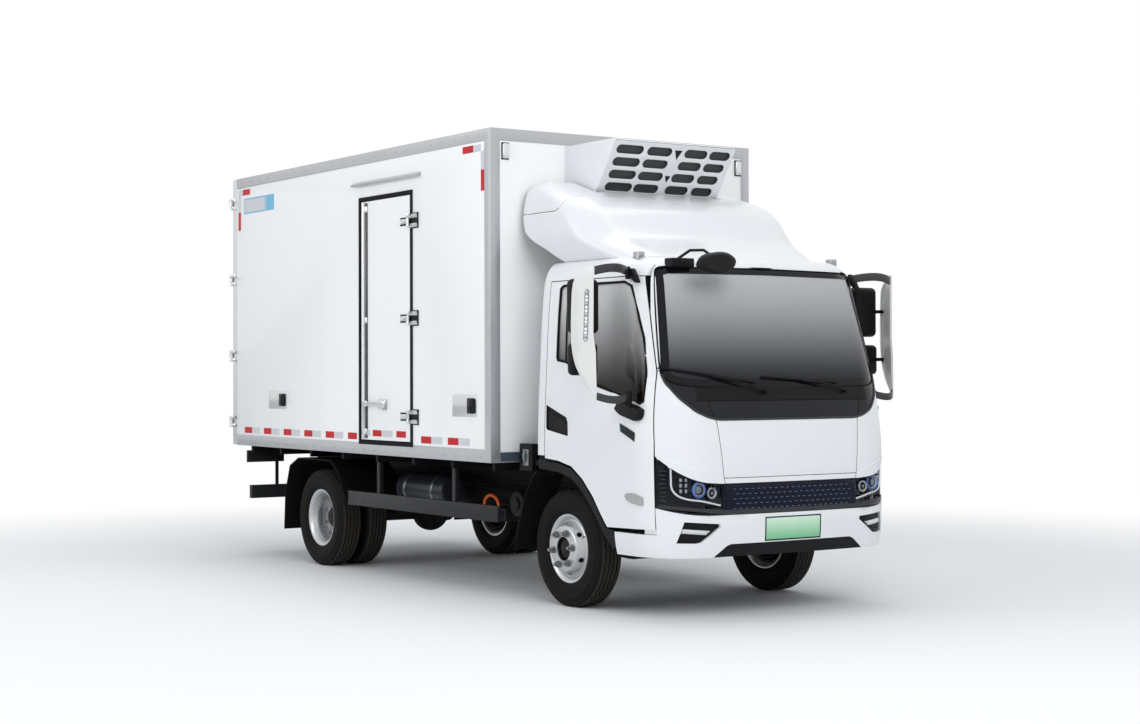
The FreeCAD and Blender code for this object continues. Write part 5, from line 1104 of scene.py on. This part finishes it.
print("plate", round(2 * PLATE_HALF, 3), "by", round(PLATE_HIGH - PLATE_LOW, 3))

# %% [markdown]
# ## Door windows
# Each door window sits in a black rubber edge, with an upright bar that splits off a fixed
# rear pane. The right door's edge is modelled on the panel's surface and mirrored. Below it
# are a blank badge place, a side lamp and the bar in the black pocket that opens the door.

# %% Door windows, pocket bar and side lamps
WINDOW_EDGE = [(-0.04, 1.63), (-0.04, 1.78), (-0.04, 1.93), (-0.04, 2.08), (-0.01, 2.098), (0.32, 2.098),
               (0.655, 2.098), (0.715, 2.07), (0.758, 1.962), (0.802, 1.854), (0.845, 1.745),
               (0.869, 1.632), (0.893, 1.52), (0.893, 1.352), (0.87, 1.338), (0.64, 1.394), (0.4, 1.452),
               (0.2, 1.545), (0.06, 1.6), (-0.03, 1.61), (-0.04, 1.63)]
chip_blue = finish("chip_blue", (0.02, 0.16, 0.24), 0.28, coat=0.8, size=40.0, uneven=0.05, shade=0.1)


def flank_route(points, lift=0.0):
    """Points on the cab's right side from lengths measured from the front axle and heights."""
    return [on_flank(rel(x), z, lift) for x, z in points]


edge = tube("window_edge", flank_route(WINDOW_EDGE), 0.0085, 1, 2, "VECTOR")
bar_line = tube("window_bar", flank_route([(0.052, 1.604), (0.046, 1.85), (0.034, 2.096)], -0.004), 0.011,
                6, 2)
trim_right = smooth(join([edge, bar_line], "window_trim_right"))
give(trim_right, rubber, "cab_door_right_body")
give(mirrored(trim_right, "window_trim_left"), rubber, "cab_door_left_body")
grip = tube("pocket_bar_right", flank_route([(-0.118, 1.262), (-0.02, 1.236), (0.072, 1.206)], 0.001),
            0.0085, 6, 3)
give(smooth(grip), trim_black, "cab_door_right_body")
give(mirrored(grip, "pocket_bar_left"), trim_black, "cab_door_left_body")
top = flank_route([(0.69, 1.212), (0.74, 1.196), (0.79, 1.178), (0.838, 1.16)], 0.0025)
low = flank_route([(0.7, 1.16), (0.748, 1.142), (0.796, 1.122), (0.836, 1.104)], 0.0025)
chip = smooth(sheet_between("door_chip_right", top, low, 0.004))
give(chip, gloss_black, "cab_door_right_body")
edge_line = smooth(sheet_between("chip_edge_right", flank_route([(0.682, 1.214), (0.69, 1.212)], 0.003),
                                 flank_route([(0.692, 1.161), (0.7, 1.16)], 0.003), 0.004))
give(edge_line, chip_blue, "cab_door_right_body")
rows = [(0.742, 0.775, 0.758), (0.765, 0.783, 0.738), (0.8, 0.786, 0.727), (0.84, 0.783, 0.72),
        (0.88, 0.774, 0.714), (0.908, 0.76, 0.712)]
body = smooth(sheet_between("side_lamp_right", flank_route([(x, h) for x, h, f in rows], 0.003),
                            flank_route([(x, f) for x, h, f in rows], 0.003), 0.01))
give(body, roof_lamp, "cab_door_right_body")
for piece, name, look, slot in ((chip, "door_chip_left", gloss_black, "gloss_black"),
                                (edge_line, "chip_edge_left", chip_blue, "gloss_black"),
                                (body, "side_lamp_left", roof_lamp, "lamp_clear")):
    give(mirrored(piece, name), look, "cab_door_left_body")
print("window edge points", len(WINDOW_EDGE))

# %% [markdown]
# ## What is on the box
# Along the foot of the side run short red and white reflecting strips, with more at the
# corners. Over the side door is a rain gutter. Two stainless plates carry black side lamps,
# small lamps sit at the front corners, and a blank sticker has its place near the rear.

# %% What is on the box
tape_red = finish("tape_red", (0.52, 0.006, 0.012), 0.42, shine=0.25, size=300.0, uneven=0.05, bump=0.15,
                  shade=0.12)
tape_white = finish("tape_white", (0.6, 0.62, 0.65), 0.42, shine=0.3, size=300.0, uneven=0.05, bump=0.15,
                    shade=0.05)
sticker_blue = finish("sticker_blue", (0.1, 0.42, 0.66), 0.35, coat=0.4, size=30.0, uneven=0.05, shade=0.06)
TAPE_LOW, TAPE_HIGH, TAPE_LONG, TAPE_PITCH = 1.028, 1.078, 0.145, 0.3745
DOOR_REAR, DOOR_FRONT = -2.47, -1.645


def side_block(name, x0, x1, z0, z1, sign, inner, outer, bevel=0.002, segments=2):
    """A block on the box's side, between two distances out from the wall."""
    low, high = sorted((sign * (BOX_SIDE + inner), sign * (BOX_SIDE + outer)))
    return block(name, at(x0, low, z0), at(x1, high, z1), bevel, segments)


def side_tape(name, x0, x1, z0, z1, sign):
    """A thin strip on the box's side."""
    return side_block(name, x0, x1, z0, z1, sign, -0.0006, 0.0016, 0.0004, 1)


for side, sign in SIDES[::-1]:
    reds, whites = [], []
    start = -4.54
    while start < -0.8:
        past_rear, before_front = sign < 0 and start + TAPE_LONG > DOOR_REAR, start < DOOR_FRONT
        if not (past_rear and before_front):
            reds.append(side_tape("red", start, start + TAPE_LONG, TAPE_LOW, TAPE_HIGH, sign))
            reaches_door = sign < 0 and start + TAPE_LONG + 0.16 > DOOR_REAR and before_front
            if not reaches_door and start < -0.95:
                whites.append(side_tape("white", start + TAPE_LONG, start + TAPE_LONG + 0.15, TAPE_LOW,
                                        TAPE_HIGH, sign))
        start += TAPE_PITCH
    for x0, x1, z0, z1 in ((-0.722, -0.68, 2.768, 2.912), (-4.668, -4.622, 2.745, 2.9),
                           (-0.962, -0.82, 3.04, 3.088), (-4.58, -4.44, 3.04, 3.088)):
        reds.append(side_tape("red", x0, x1, z0, z1, sign))
    for x0, x1, z0, z1 in ((-0.722, -0.68, 2.912, 3.04), (-0.82, -0.722, 3.04, 3.088),
                           (-4.668, -4.622, 2.9, 3.04), (-4.668, -4.58, 3.04, 3.088)):
        whites.append(side_tape("white", x0, x1, z0, z1, sign))
    give(join(reds, "tape_red_" + side), tape_red, "chassis")
    give(join(whites, "tape_white_" + side), tape_white, "chassis")

door_whites, door_reds = [], []
for x0, x1, marks in ((-2.4, -2.3, door_whites), (-2.262, -2.125, door_reds), (-2.125, -1.96, door_whites),
                      (-1.9, -1.76, door_reds)):
    marks.append(side_block("tape", x0, x1, 1.06, 1.106, -1.0, 0.0038, 0.0062, 0.0004, 1))
give(join(door_reds, "door_tape_red"), tape_red, "side_door_body")
give(join(door_whites, "door_tape_white"), tape_white, "side_door_body")

gutter = plate("rain_gutter", [at(-2.56, -BOX_SIDE + 0.001, 2.952), at(-2.56, -BOX_SIDE - 0.03, 2.94),
                               at(-2.56, -BOX_SIDE - 0.036, 2.952), at(-2.56, -BOX_SIDE - 0.034, 2.958),
                               at(-2.56, -BOX_SIDE - 0.004, 2.972), at(-2.56, -BOX_SIDE + 0.001, 2.976)],
               (1.014, 0.0, 0.0), 0.0015)
give(smooth(gutter), rail_metal, "chassis")
blue = side_tape("sticker_band", -4.12, -3.972, 2.88, 3.01, -1.0)
pale = side_tape("sticker_frame", -4.557, -4.13, 2.88, 3.01, -1.0)
cut_line(pale, at(-4.545, 0.0, 0.0), (1.0, 0.0, 0.0))
for point, normal in ((at(-4.142, 0, 0), (1, 0, 0)), ((0, 0, 2.892), (0, 0, 1)),
                      ((0, 0, 2.998), (0, 0, 1))):
    cut_line(pale, point, normal)
give(blue, sticker_blue, "chassis")
give(pale, sticker_blue, "chassis")
paint(pale, tape_white, lambda c, n: rel(-4.545) < c.x < rel(-4.142) and 2.892 < c.z < 2.998)

for side, sign in SIDES[::-1]:
    plates, lamps = [], []
    for x0, x1, z0, z1 in ((-4.062, -3.738, 1.24, 1.388), (-1.102, -0.781, 1.227, 1.38)):
        plates.append(side_block("plate", x0, x1, z0, z1, sign, -0.001, 0.003, 0.001))
        lamps.append(side_block("lamp", x1 - 0.092, x1 - 0.02, z0 + 0.022, z1 - 0.022, sign, 0.002, 0.03,
                                0.01, 4))
        lamps.append(side_block("face", x1 - 0.078, x1 - 0.034, z0 + 0.036, z1 - 0.036, sign, 0.028, 0.034,
                                0.0025, 3))
    unite(plates, "lamp_plates_" + side, steel, "chassis")
    unite(lamps, "side_marker_lamps_" + side, gloss_black, "chassis")

front_face = BOX_FRONT + 0.001
corner_lamps = []
for y in (-1.008, 1.022):
    corner_lamps.append(block("lamp", (front_face - 0.002, y - 0.024, 2.984),
                              (front_face + 0.02, y + 0.024, 3.086), 0.008, 3))
    corner_lamps.append(block("rim", (front_face - 0.002, y - 0.03, 2.977),
                              (front_face + 0.006, y + 0.03, 3.093), 0.003, 2))
unite(corner_lamps, "front_corner_lamps", lamp_clear, "chassis")
paint(bpy.data.objects["front_corner_lamps"], gloss_black, lambda c, n: c.x < front_face + 0.0065)

rivets = [(rel(-4.6 + k * 0.168), z) for k in range(24) for z in (0.955, 3.15)]
first = bar("rivet", (0, 0, 0), (0, -0.0045, 0), 0.0062, 10, 0.0015)
heads = []
for sign in (-1.0, 1.0):
    for x, z in rivets:
        head = copy_of(first, "rivet")
        head.rotation_euler = (0.0, 0.0, 0.0 if sign < 0 else math.pi)
        head.location = (x, sign * (BOX_SIDE + RAIL_PROUD - 0.001), z)
        heads.append(head)
bpy.data.objects.remove(first)
give(settle(join(heads, "rail_rivets")), rail_metal, "chassis")
print("tape and lamps on the box")

# %% [markdown]
# ## Seats
# A truck seat is foam under cloth: its faces are crowned, its sides pull in between the
# corners, and sewn channels run across it. A finely divided block is eased towards a ball and
# the channels are pressed in, then the backrest is leaned back.

# %% Seats
def pad(name, low, high, ease, channels, lean=0.0):
    """A crowned cushion between two corners, with sewn channels at heights or lengths across it."""
    low, high = Vector(low), Vector(high)
    middle, half = (low + high) / 2.0, (high - low) / 2.0
    deselect()
    OPS.primitive_cube_add(size=2.0)
    piece = bpy.context.object
    piece.name = name
    edited(piece, (OPS.subdivide, {"number_cuts": 23}))
    for vertex in piece.data.vertices:
        a, b, c = vertex.co
        ball = Vector((a * math.sqrt(1 - b * b / 2 - c * c / 2 + b * b * c * c / 3),
                       b * math.sqrt(1 - c * c / 2 - a * a / 2 + c * c * a * a / 3),
                       c * math.sqrt(1 - a * a / 2 - b * b / 2 + a * a * b * b / 3)))
        eased = vertex.co.lerp(ball, ease)
        place = eased * half
        for axis, at, face in channels:
            distance = (place[axis] - at * half[axis]) / 0.01
            press = 0.007 * math.exp(-distance * distance)
            place[face] -= math.copysign(press, place[face])
        place.x -= lean * (place.z + half.z)
        vertex.co = middle + place
    return smooth(piece, 60.0)


SEATS = (("driver", 0.47, 0.48), ("middle", -0.06, 0.38), ("passenger", -0.5, 0.44))
for name, y, width in SEATS:
    side = width / 2.0 - 0.004
    cushion = pad("seat_cushion_" + name, at(-0.055, y - side, 1.064), at(0.396, y + side, 1.168), 0.32,
                  [(1, -0.62, 2), (1, 0.62, 2), (0, 0.35, 2), (0, -0.2, 2)])
    back = pad("seat_back_" + name, at(-0.1, y - side, 1.13), at(0.03, y + side, 1.742), 0.3,
               [(1, -0.62, 0), (1, 0.62, 0), (2, 0.45, 0), (2, 0.0, 0), (2, -0.45, 0)], 0.125)
    rest = pad("head_rest_" + name, at(-0.165, y - 0.128, 1.752), at(-0.082, y + 0.128, 1.912), 0.42,
               [(2, 0.0, 0)], 0.03)
    for piece, fill in ((cushion, 0.8), (back, 0.8), (rest, 0.9)):
        give(piece, seat_cloth, "cab")
base = [block("seat_base", at(-0.18, -0.74, 1.018), at(0.3, 0.73, 1.066), 0.008)]
for name, y, width in SEATS:
    for dy in (-0.055, 0.055):
        base.append(bar("post", at(-0.125, y + dy, 1.7), at(-0.122, y + dy, 1.8), 0.007, 12))
    base.append(block("shell", at(-0.172, y - width / 2 + 0.03, 1.16),
                      at(-0.128, y + width / 2 - 0.03, 1.66), 0.014, 3))
seat_frame = smooth(join(base, "seat_frame"))
give(seat_frame, dash_plastic, "cab")
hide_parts("seats")
print("seats", len(SEATS))

# %% [markdown]
# ## Inside the cab
# Through the tinted glass show the pale roof lining, the sun visors, the dark dashboard with
# its hooded instruments and screen, and the grey back wall.

# %% Inside the cab
visors = []
for y, half in ((0.43, 0.23), (-0.43, 0.23)):
    visors.append(block("visor", at(0.69, y - half, 1.985), at(0.706, y + half, 2.105), 0.006, 3))
unite(visors, "sun_visors", lining, "cab")
hood = plate("instrument_hood", [at(0.6, 0.27, 1.355), at(0.56, 0.27, 1.4), at(0.58, 0.27, 1.432),
                                 at(0.66, 0.27, 1.44), at(0.76, 0.27, 1.368)], (0.0, 0.4, 0.0), 0.01, 3)
give(smooth(hood), dash_plastic, "cab")
screen = block("dash_screen", at(0.552, -0.12, 1.25), at(0.562, 0.14, 1.352), 0.004, 3)
give(smooth(screen), gloss_black, "cab")
rail = tube("grab_rail", [at(0.585, -0.68, 1.3), at(0.556, -0.64, 1.318), at(0.553, -0.52, 1.318),
                          at(0.556, -0.4, 1.318), at(0.585, -0.36, 1.3)], 0.011, 6, 3)
give(smooth(rail), trim_black, "cab")
wall = block("rear_lining", at(-0.244, -0.8, 1.06), at(-0.232, 0.8, 2.08), 0.01, 3)
give(smooth(wall), lining, "cab")
print("cab inside")

# %% [markdown]
# ## Door mirrors
# Each mirror stands on two flat curved arms. The blade is a tall shell whose front edge is
# straight and whose rear edge is bowed, with a raised face and a slotted insert. Behind it
# hang a tall and a low mirror head. The right mirror is modelled and then copied across.

# %% Door mirrors
mirror_white = finish("mirror_white", (0.7, 0.7, 0.69), 0.34, coat=0.3, size=6.0, uneven=0.04, shade=0.02)
mirror_arm = finish("mirror_arm", (0.05, 0.051, 0.054), 0.3, metal=0.5, size=200.0, uneven=0.06, bump=0.1,
                    shade=0.12)
mirror_silver = finish("mirror_silver", (0.3, 0.31, 0.32), 0.28, metal=0.6, size=90.0, uneven=0.06,
                       shade=0.06)
mirror_face = finish("mirror_face", (0.78, 0.8, 0.82), 0.04, metal=1.0, size=4.0, uneven=0.015, shade=0.02)
BLADE_REAR = [(1.362, 0.194), (1.373, 0.184), (1.4, 0.163), (1.424, 0.141), (1.46, 0.11), (1.492, 0.085),
              (1.53, 0.062), (1.564, 0.042), (1.61, 0.026), (1.657, 0.0145), (1.718, 0.007), (1.822, 0.005),
              (1.92, 0.0075), (2.028, 0.0125), (2.08, 0.021), (2.105, 0.034), (2.121, 0.048), (2.14, 0.071),
              (2.157, 0.097), (2.172, 0.124), (2.183, 0.146), (2.19, 0.17)]
BLADE_FRONT = [(1.362, 0.199), (1.4, 0.202), (1.513, 0.2), (1.652, 0.198), (1.7, 0.19), (1.74, 0.182),
               (1.78, 0.18), (2.028, 0.182), (2.19, 0.182)]
BLADE_PROFILE = [(0.0, -0.014), (0.003, -0.006), (0.009, -0.001), (0.018, 0.001), (0.03, 0.0015),
                 (0.036, 0.0055)]


def beside(s, z, out, sign=-1.0):
    """A point of the mirror from its place along the blade, its height and how far out it is."""
    return Vector((rel(0.609) + 0.933 * s + 0.359 * out, sign * (1.3088 - 0.359 * s + 0.933 * out), z))


def level(table, z):
    """The value at a height, read off a table between two of its rows."""
    for (z0, a), (z1, b) in zip(table, table[1:]):
        if z <= z1:
            return a + (b - a) * max(z - z0, 0.0) / (z1 - z0)
    return table[-1][1]


def flat_arm(name, a, b, c, low, high, thickness, rise):
    """A flat upright arm that bends through three places seen from above and rises in its middle."""
    places = []
    for t in spaced(0.0, 1.0, 17):
        x, y = [(1 - t) ** 2 * a[i] + 2 * t * (1 - t) * (2 * b[i] - (a[i] + c[i]) / 2) + t ** 2 * c[i]
                for i in (0, 1)]
        places.append(Vector((rel(x), -y, 4 * rise * t * (1 - t))))
    arm = sheet_between(name, [p + Vector((0.0, 0.0, high)) for p in places],
                        [p + Vector((0.0, 0.0, low)) for p in places], thickness)
    return apply_modifier(arm, "BEVEL", width=0.004, segments=3, limit_method="ANGLE")


blade_rows = []
for z in spaced(1.362, 2.19, 60):
    rear, front = level(BLADE_REAR, z), level(BLADE_FRONT, z)
    share = min((front - rear) / 0.11, 1.0)
    line = [(rear + s * share, (out + 0.002) * (0.35 + 0.65 * share) - 0.002) for s, out in BLADE_PROFILE]
    line += [((line[-1][0] + front) / 2, line[-1][1]), (front - 0.008 * share, line[-1][1]),
             (front, line[-1][1] - 0.006)]
    blade_rows.append([beside(s, z, out) for s, out in line])
outward = beside(0, 0, 1.0) - beside(0, 0, 0.0)
blade = grid_sheet("blade", blade_rows, 0.012, outward)
parts = [tinted(blade, mirror_white)]

INSERT_LOW, INSERT_HIGH = (0.126, 1.736), (0.138, 2.026)
oval = []
for k in range(24):
    angle = math.pi * k / 12.0
    place = INSERT_HIGH if math.sin(angle) > 0.0 else INSERT_LOW
    oval.append((place[0] + 0.017 * math.cos(angle), place[1] + 0.017 * math.sin(angle)))
rim = plate("rim", [beside(s, z, 0.0045) for s, z in oval], beside(0, 0, 0.0035) - beside(0, 0, 0.0),
            0.0012)
edited_faces(rim, lambda c, n: n.dot(outward) > 0.9 and c.z > 1.8, OPS.inset, thickness=0.0035,
             depth=-0.002)
parts.append(tinted(rim, mirror_silver))
for k in range(13):
    share = (k + 0.5) / 13.0
    s = INSERT_LOW[0] + (INSERT_HIGH[0] - INSERT_LOW[0]) * share
    z = INSERT_LOW[1] + (INSERT_HIGH[1] - INSERT_LOW[1]) * share
    corners = [beside(s + a, z + b, 0.0058) for a, b in
               ((-0.0095, -0.0065), (0.0095, -0.0065), (0.0095, 0.0065), (-0.0095, 0.0065))]
    rung = plate("rung", corners, outward * 0.0028, 0.0008)
    parts.append(tinted(rung, steel if k % 3 else mirror_silver))

ARMS = (
    ("arm_high", (0.77, 1.23), (0.78, 1.08), (0.7, 0.925), 2.126, 2.18, 0.016, 0.022),
    ("arm_low", (0.79, 1.23), (0.85, 1.13), (0.824, 1.01), 1.362, 1.41, 0.015, -0.024))
for arm in ARMS:
    parts.append(tinted(flat_arm(*arm), mirror_arm))
for name, low, high, bevel in (("head_main", at(0.515, -1.278, 1.772), at(0.608, -1.07, 2.112), 0.036),
                               ("head_low", at(0.528, -1.28, 1.512), at(0.61, -1.082, 1.716), 0.032)):
    parts.append(tinted(block(name, low, high, bevel, 6), trim_black))
    face = block(name + "_face", (low[0] - 0.0012, low[1] + 0.02, low[2] + 0.02),
                 (low[0] + 0.01, high[1] - 0.02, high[2] - 0.02), 0.001)
    parts.append(tinted(face, mirror_face))
FOOT_HIGH = [(0.64, 2.17), (0.668, 2.176), (0.742, 2.178), (0.772, 2.136), (0.8, 2.09), (0.79, 2.084),
             (0.768, 2.09), (0.722, 2.128), (0.69, 2.15)]
FOOT_LOW = [(0.64, 1.303), (0.668, 1.284), (0.705, 1.264), (0.78, 1.246), (0.848, 1.23), (0.884, 1.234),
            (0.902, 1.252), (0.909, 1.3), (0.86, 1.326), (0.796, 1.342), (0.73, 1.346), (0.672, 1.34)]
stand = [
    bar("stalk_main", at(0.575, -1.24, 1.945), at(0.668, -1.268, 1.945), 0.012, 16),
    bar("stalk_low", at(0.58, -1.24, 1.616), at(0.672, -1.266, 1.616), 0.012, 16),
    plate("foot_high", [at(x, -0.898, z) for x, z in FOOT_HIGH], (0.0, -0.036, 0.0), 0.006, 3),
    bar("pin_high", at(0.704, -0.93, 2.112), at(0.704, -0.93, 2.19), 0.016, 24, 0.003),
    plate("foot_low", [at(x, -0.932, z) for x, z in FOOT_LOW], (0.0, -0.072, 0.0), 0.014, 5),
    bar("joint", at(0.824, -1.018, 1.32), at(0.824, -1.018, 1.416), 0.022, 28, 0.004)]
for z in (1.326, 1.346, 1.392):
    stand.append(bar("ring", at(0.824, -1.018, z), at(0.824, -1.018, z + 0.01), 0.0265, 28, 0.003))
stand.append(block("joint_arm", at(0.786, -1.052, 1.332), at(0.824, -1.01, 1.352), 0.006))
parts += [tinted(piece, trim_black) for piece in stand]
mirror_right = smooth(join(parts, "door_mirror_right"), 34.0)
mirror_left = mirrored(mirror_right, "door_mirror_left")
for side, piece in (("right", mirror_right), ("left", mirror_left)):
    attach(piece, "cab_door_" + side + "_body")
    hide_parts("mirror_" + side)
reach = min(v.co.y for v in mirror_right.data.vertices)
print("mirror", len(mirror_right.data.polygons), "faces, out to", round(reach, 4))

# %% [markdown]
# ## Side door fittings, rear lamps and chassis details
# The side door's lock rod runs in a steel channel with dark edges, and its hinges stand on
# black pads. At the back are lamps with red, amber and clear fields, a blank plate and tape on
# the underrun bar. Under the box are a drier, a converter with fins and an orange high voltage
# line that is a fixed pipe.

# %% Side door fittings, rear lamps and chassis details
leaf_box = [v.co for v in SKINS["side_door"].data.vertices if v.co.y > -BOX_SIDE]
leaf_rear, leaf_front = min(p.x for p in leaf_box), max(p.x for p in leaf_box)
leaf_low, leaf_high = min(p.z for p in leaf_box), max(p.z for p in leaf_box)
leaf_face = -BOX_SIDE - 0.004
rod_line = leaf_rear + 0.07
give(block("rod_edge", (rod_line - 0.03, leaf_face - 0.0014, leaf_low + 0.012),
           (rod_line + 0.03, leaf_face + 0.001, leaf_high - 0.012), 0.0004), rubber, BODY_OF["side_door"])
give(block("rod_channel", (rod_line - 0.024, leaf_face - 0.0045, leaf_low + 0.012),
           (rod_line + 0.024, leaf_face - 0.001, leaf_high - 0.012), 0.0008), nut_steel,
     BODY_OF["side_door"])
pads, jamb_pads = [], []
for z in (1.213, 1.925, 2.629):
    pads.append(block("pad", (leaf_front - 0.138, leaf_face - 0.0022, z - 0.03),
                      (leaf_front - 0.012, leaf_face + 0.001, z + 0.03), 0.0006))
    jamb_pads.append(block("pad", (leaf_front + 0.024, -BOX_SIDE - 0.0074, z - 0.056),
                           (leaf_front + 0.122, -BOX_SIDE + 0.0005, z + 0.056), 0.001))
give(join(pads, "hinge_pads"), trim_black, BODY_OF["side_door"])
give(join(jamb_pads, "hinge_pads_fixed"), trim_black, "chassis")

lamp_red = finish("lamp_red", (0.45, 0.008, 0.01), 0.16, coat=0.6, size=260.0, uneven=0.05, bump=0.3,
                  shade=0.15)
lamp_amber = finish("lamp_amber", (0.75, 0.2, 0.01), 0.16, coat=0.6, size=260.0, uneven=0.05, bump=0.3,
                    shade=0.15)
rear_face = BOX_REAR + 0.0638
for side, sign in SIDES:
    fields = []
    for a, b, look in ((0.706, 0.792, lamp_clear), (0.796, 0.908, lamp_red), (0.912, 1.014, lamp_amber)):
        low, high = sorted((sign * a, sign * b))
        fields.append(tinted(block("field", (rear_face - 0.03, low, 0.78), (rear_face + 0.002, high, 0.862),
                                   0.008, 4), look))
    low, high = sorted((sign * 0.7, sign * 1.02))
    fields.append(tinted(block("back", (rear_face - 0.012, low, 0.774), (rear_face + 0.002, high, 0.868),
                               0.003), trim_black))
    lamp = smooth(join(fields, "tail_lamp_" + side))
    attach(lamp, "chassis")
give(block("rear_plate", (BOX_REAR + 0.046, -0.22, 0.592), (BOX_REAR + 0.05, 0.22, 0.732), 0.0015),
     plate_green, "chassis")
holder = [block("holder", (BOX_REAR + 0.0495, -0.226, 0.586), (BOX_REAR + 0.054, 0.226, 0.738), 0.0015)]
holder += [block("leg", (BOX_REAR + 0.053, y - 0.02, 0.52), (BOX_REAR + 0.0605, y + 0.02, 0.7), 0.001)
           for y in (-0.12, 0.12)]
give(join(holder, "rear_plate_holder"), trim_black, "chassis")
for look, name, start in ((tape_red, "underrun_tape_red", 0), (tape_white, "underrun_tape_white", 1)):
    marks = [block("mark", (BOX_REAR + 0.0592, -0.975 + 0.15 * k, 0.493),
                   (BOX_REAR + 0.0605, -0.825 + 0.15 * k, 0.543), 0.0) for k in range(start, 13, 2)]
    give(join(marks, name), look, "chassis")

paint(SKINS["air_tanks"], nut_steel, lambda c, n: math.hypot(c.y + 0.605, c.z - 0.64) > 0.1195)
rail_slate = finish("rail_slate", (0.06, 0.078, 0.105), 0.4, size=30.0, uneven=0.06, shade=0.1)
give(block("front_foot_rail", (front_face - 0.002, -1.05, 0.93), (front_face + 0.004, 1.05, 0.99), 0.0015),
     rail_slate, "chassis")
drier = [bar("can", at(-1.19, -0.374, 0.59), at(-1.19, -0.545, 0.59), 0.094, 48, 0.014)]
drier.append(bar("band", at(-1.19, -0.47, 0.59), at(-1.19, -0.486, 0.59), 0.0975, 48, 0.002))
drier.append(bar("cap", at(-1.19, -0.54, 0.59), at(-1.19, -0.56, 0.59), 0.046, 32, 0.004))
unite(drier, "air_drier", cast_dark, "chassis")
case = [block("case", at(-1.77, -0.53, 0.452), at(-1.36, -0.374, 0.545), 0.008, 3)]
case += [block("fin", (rel(-1.755 + 0.03 * k), -0.538, 0.47), (rel(-1.745 + 0.03 * k), -0.524, 0.53),
               0.002) for k in range(13)]
unite(case, "converter", cast_dark, "chassis")
orange = finish("cable_orange", (0.75, 0.13, 0.015), 0.45, size=400.0, uneven=0.06, bump=0.3, shade=0.12)
line = tube("orange_line", [at(-1.5, -0.49, 0.53), at(-1.52, -0.5, 0.6), at(-1.59, -0.505, 0.63),
                            at(-1.67, -0.505, 0.6), at(-1.7, -0.5, 0.535)], 0.0125, 10, 3)
give(smooth(line), orange, "chassis")
pipes = [tube("pipe", [at(-0.7, -0.4, z), at(-1.1, -0.404, z), at(-1.6, -0.404, z - 0.02),
                       at(-1.95, -0.42, z - 0.01)], 0.007, 8, 2) for z in (0.69, 0.715)]
unite(pipes, "brake_pipes", chassis_black, "chassis")

post = [block("post", at(-0.551, -0.93, 0.87), at(-0.395, -0.87, 1.052), 0.006, 3),
        block("arm", at(-0.4, -0.905, 0.905), at(-0.352, -0.43, 0.945), 0.004)]
unite(post, "latch_post", trim_black, "chassis")
hook = [block("hook_plate", at(-0.505, -0.9325, 0.905), at(-0.435, -0.929, 1.015), 0.001),
        tube("hook", [at(-0.47, -0.93, 0.925), at(-0.47, -0.946, 0.945), at(-0.47, -0.946, 0.985),
                      at(-0.47, -0.93, 1.0)], 0.006, 6, 2)]
unite(hook, "latch_hook", nut_steel, "chassis")

FAIRING = search_tree("fairing")
seal = []
for y in spaced(-0.79, 0.79, 40):
    hit = FAIRING.ray_cast(Vector((4.0, y, 2.275)), Vector((-1.0, 0.0, 0.0)))[0]
    if hit:
        seal.append(Vector((hit.x - 0.001, y, 2.264)))
give(smooth(tube("fairing_seal", seal, 0.0045, 3, 2)), rubber, "cab")
print("details behind and below", len(marks), "marks")
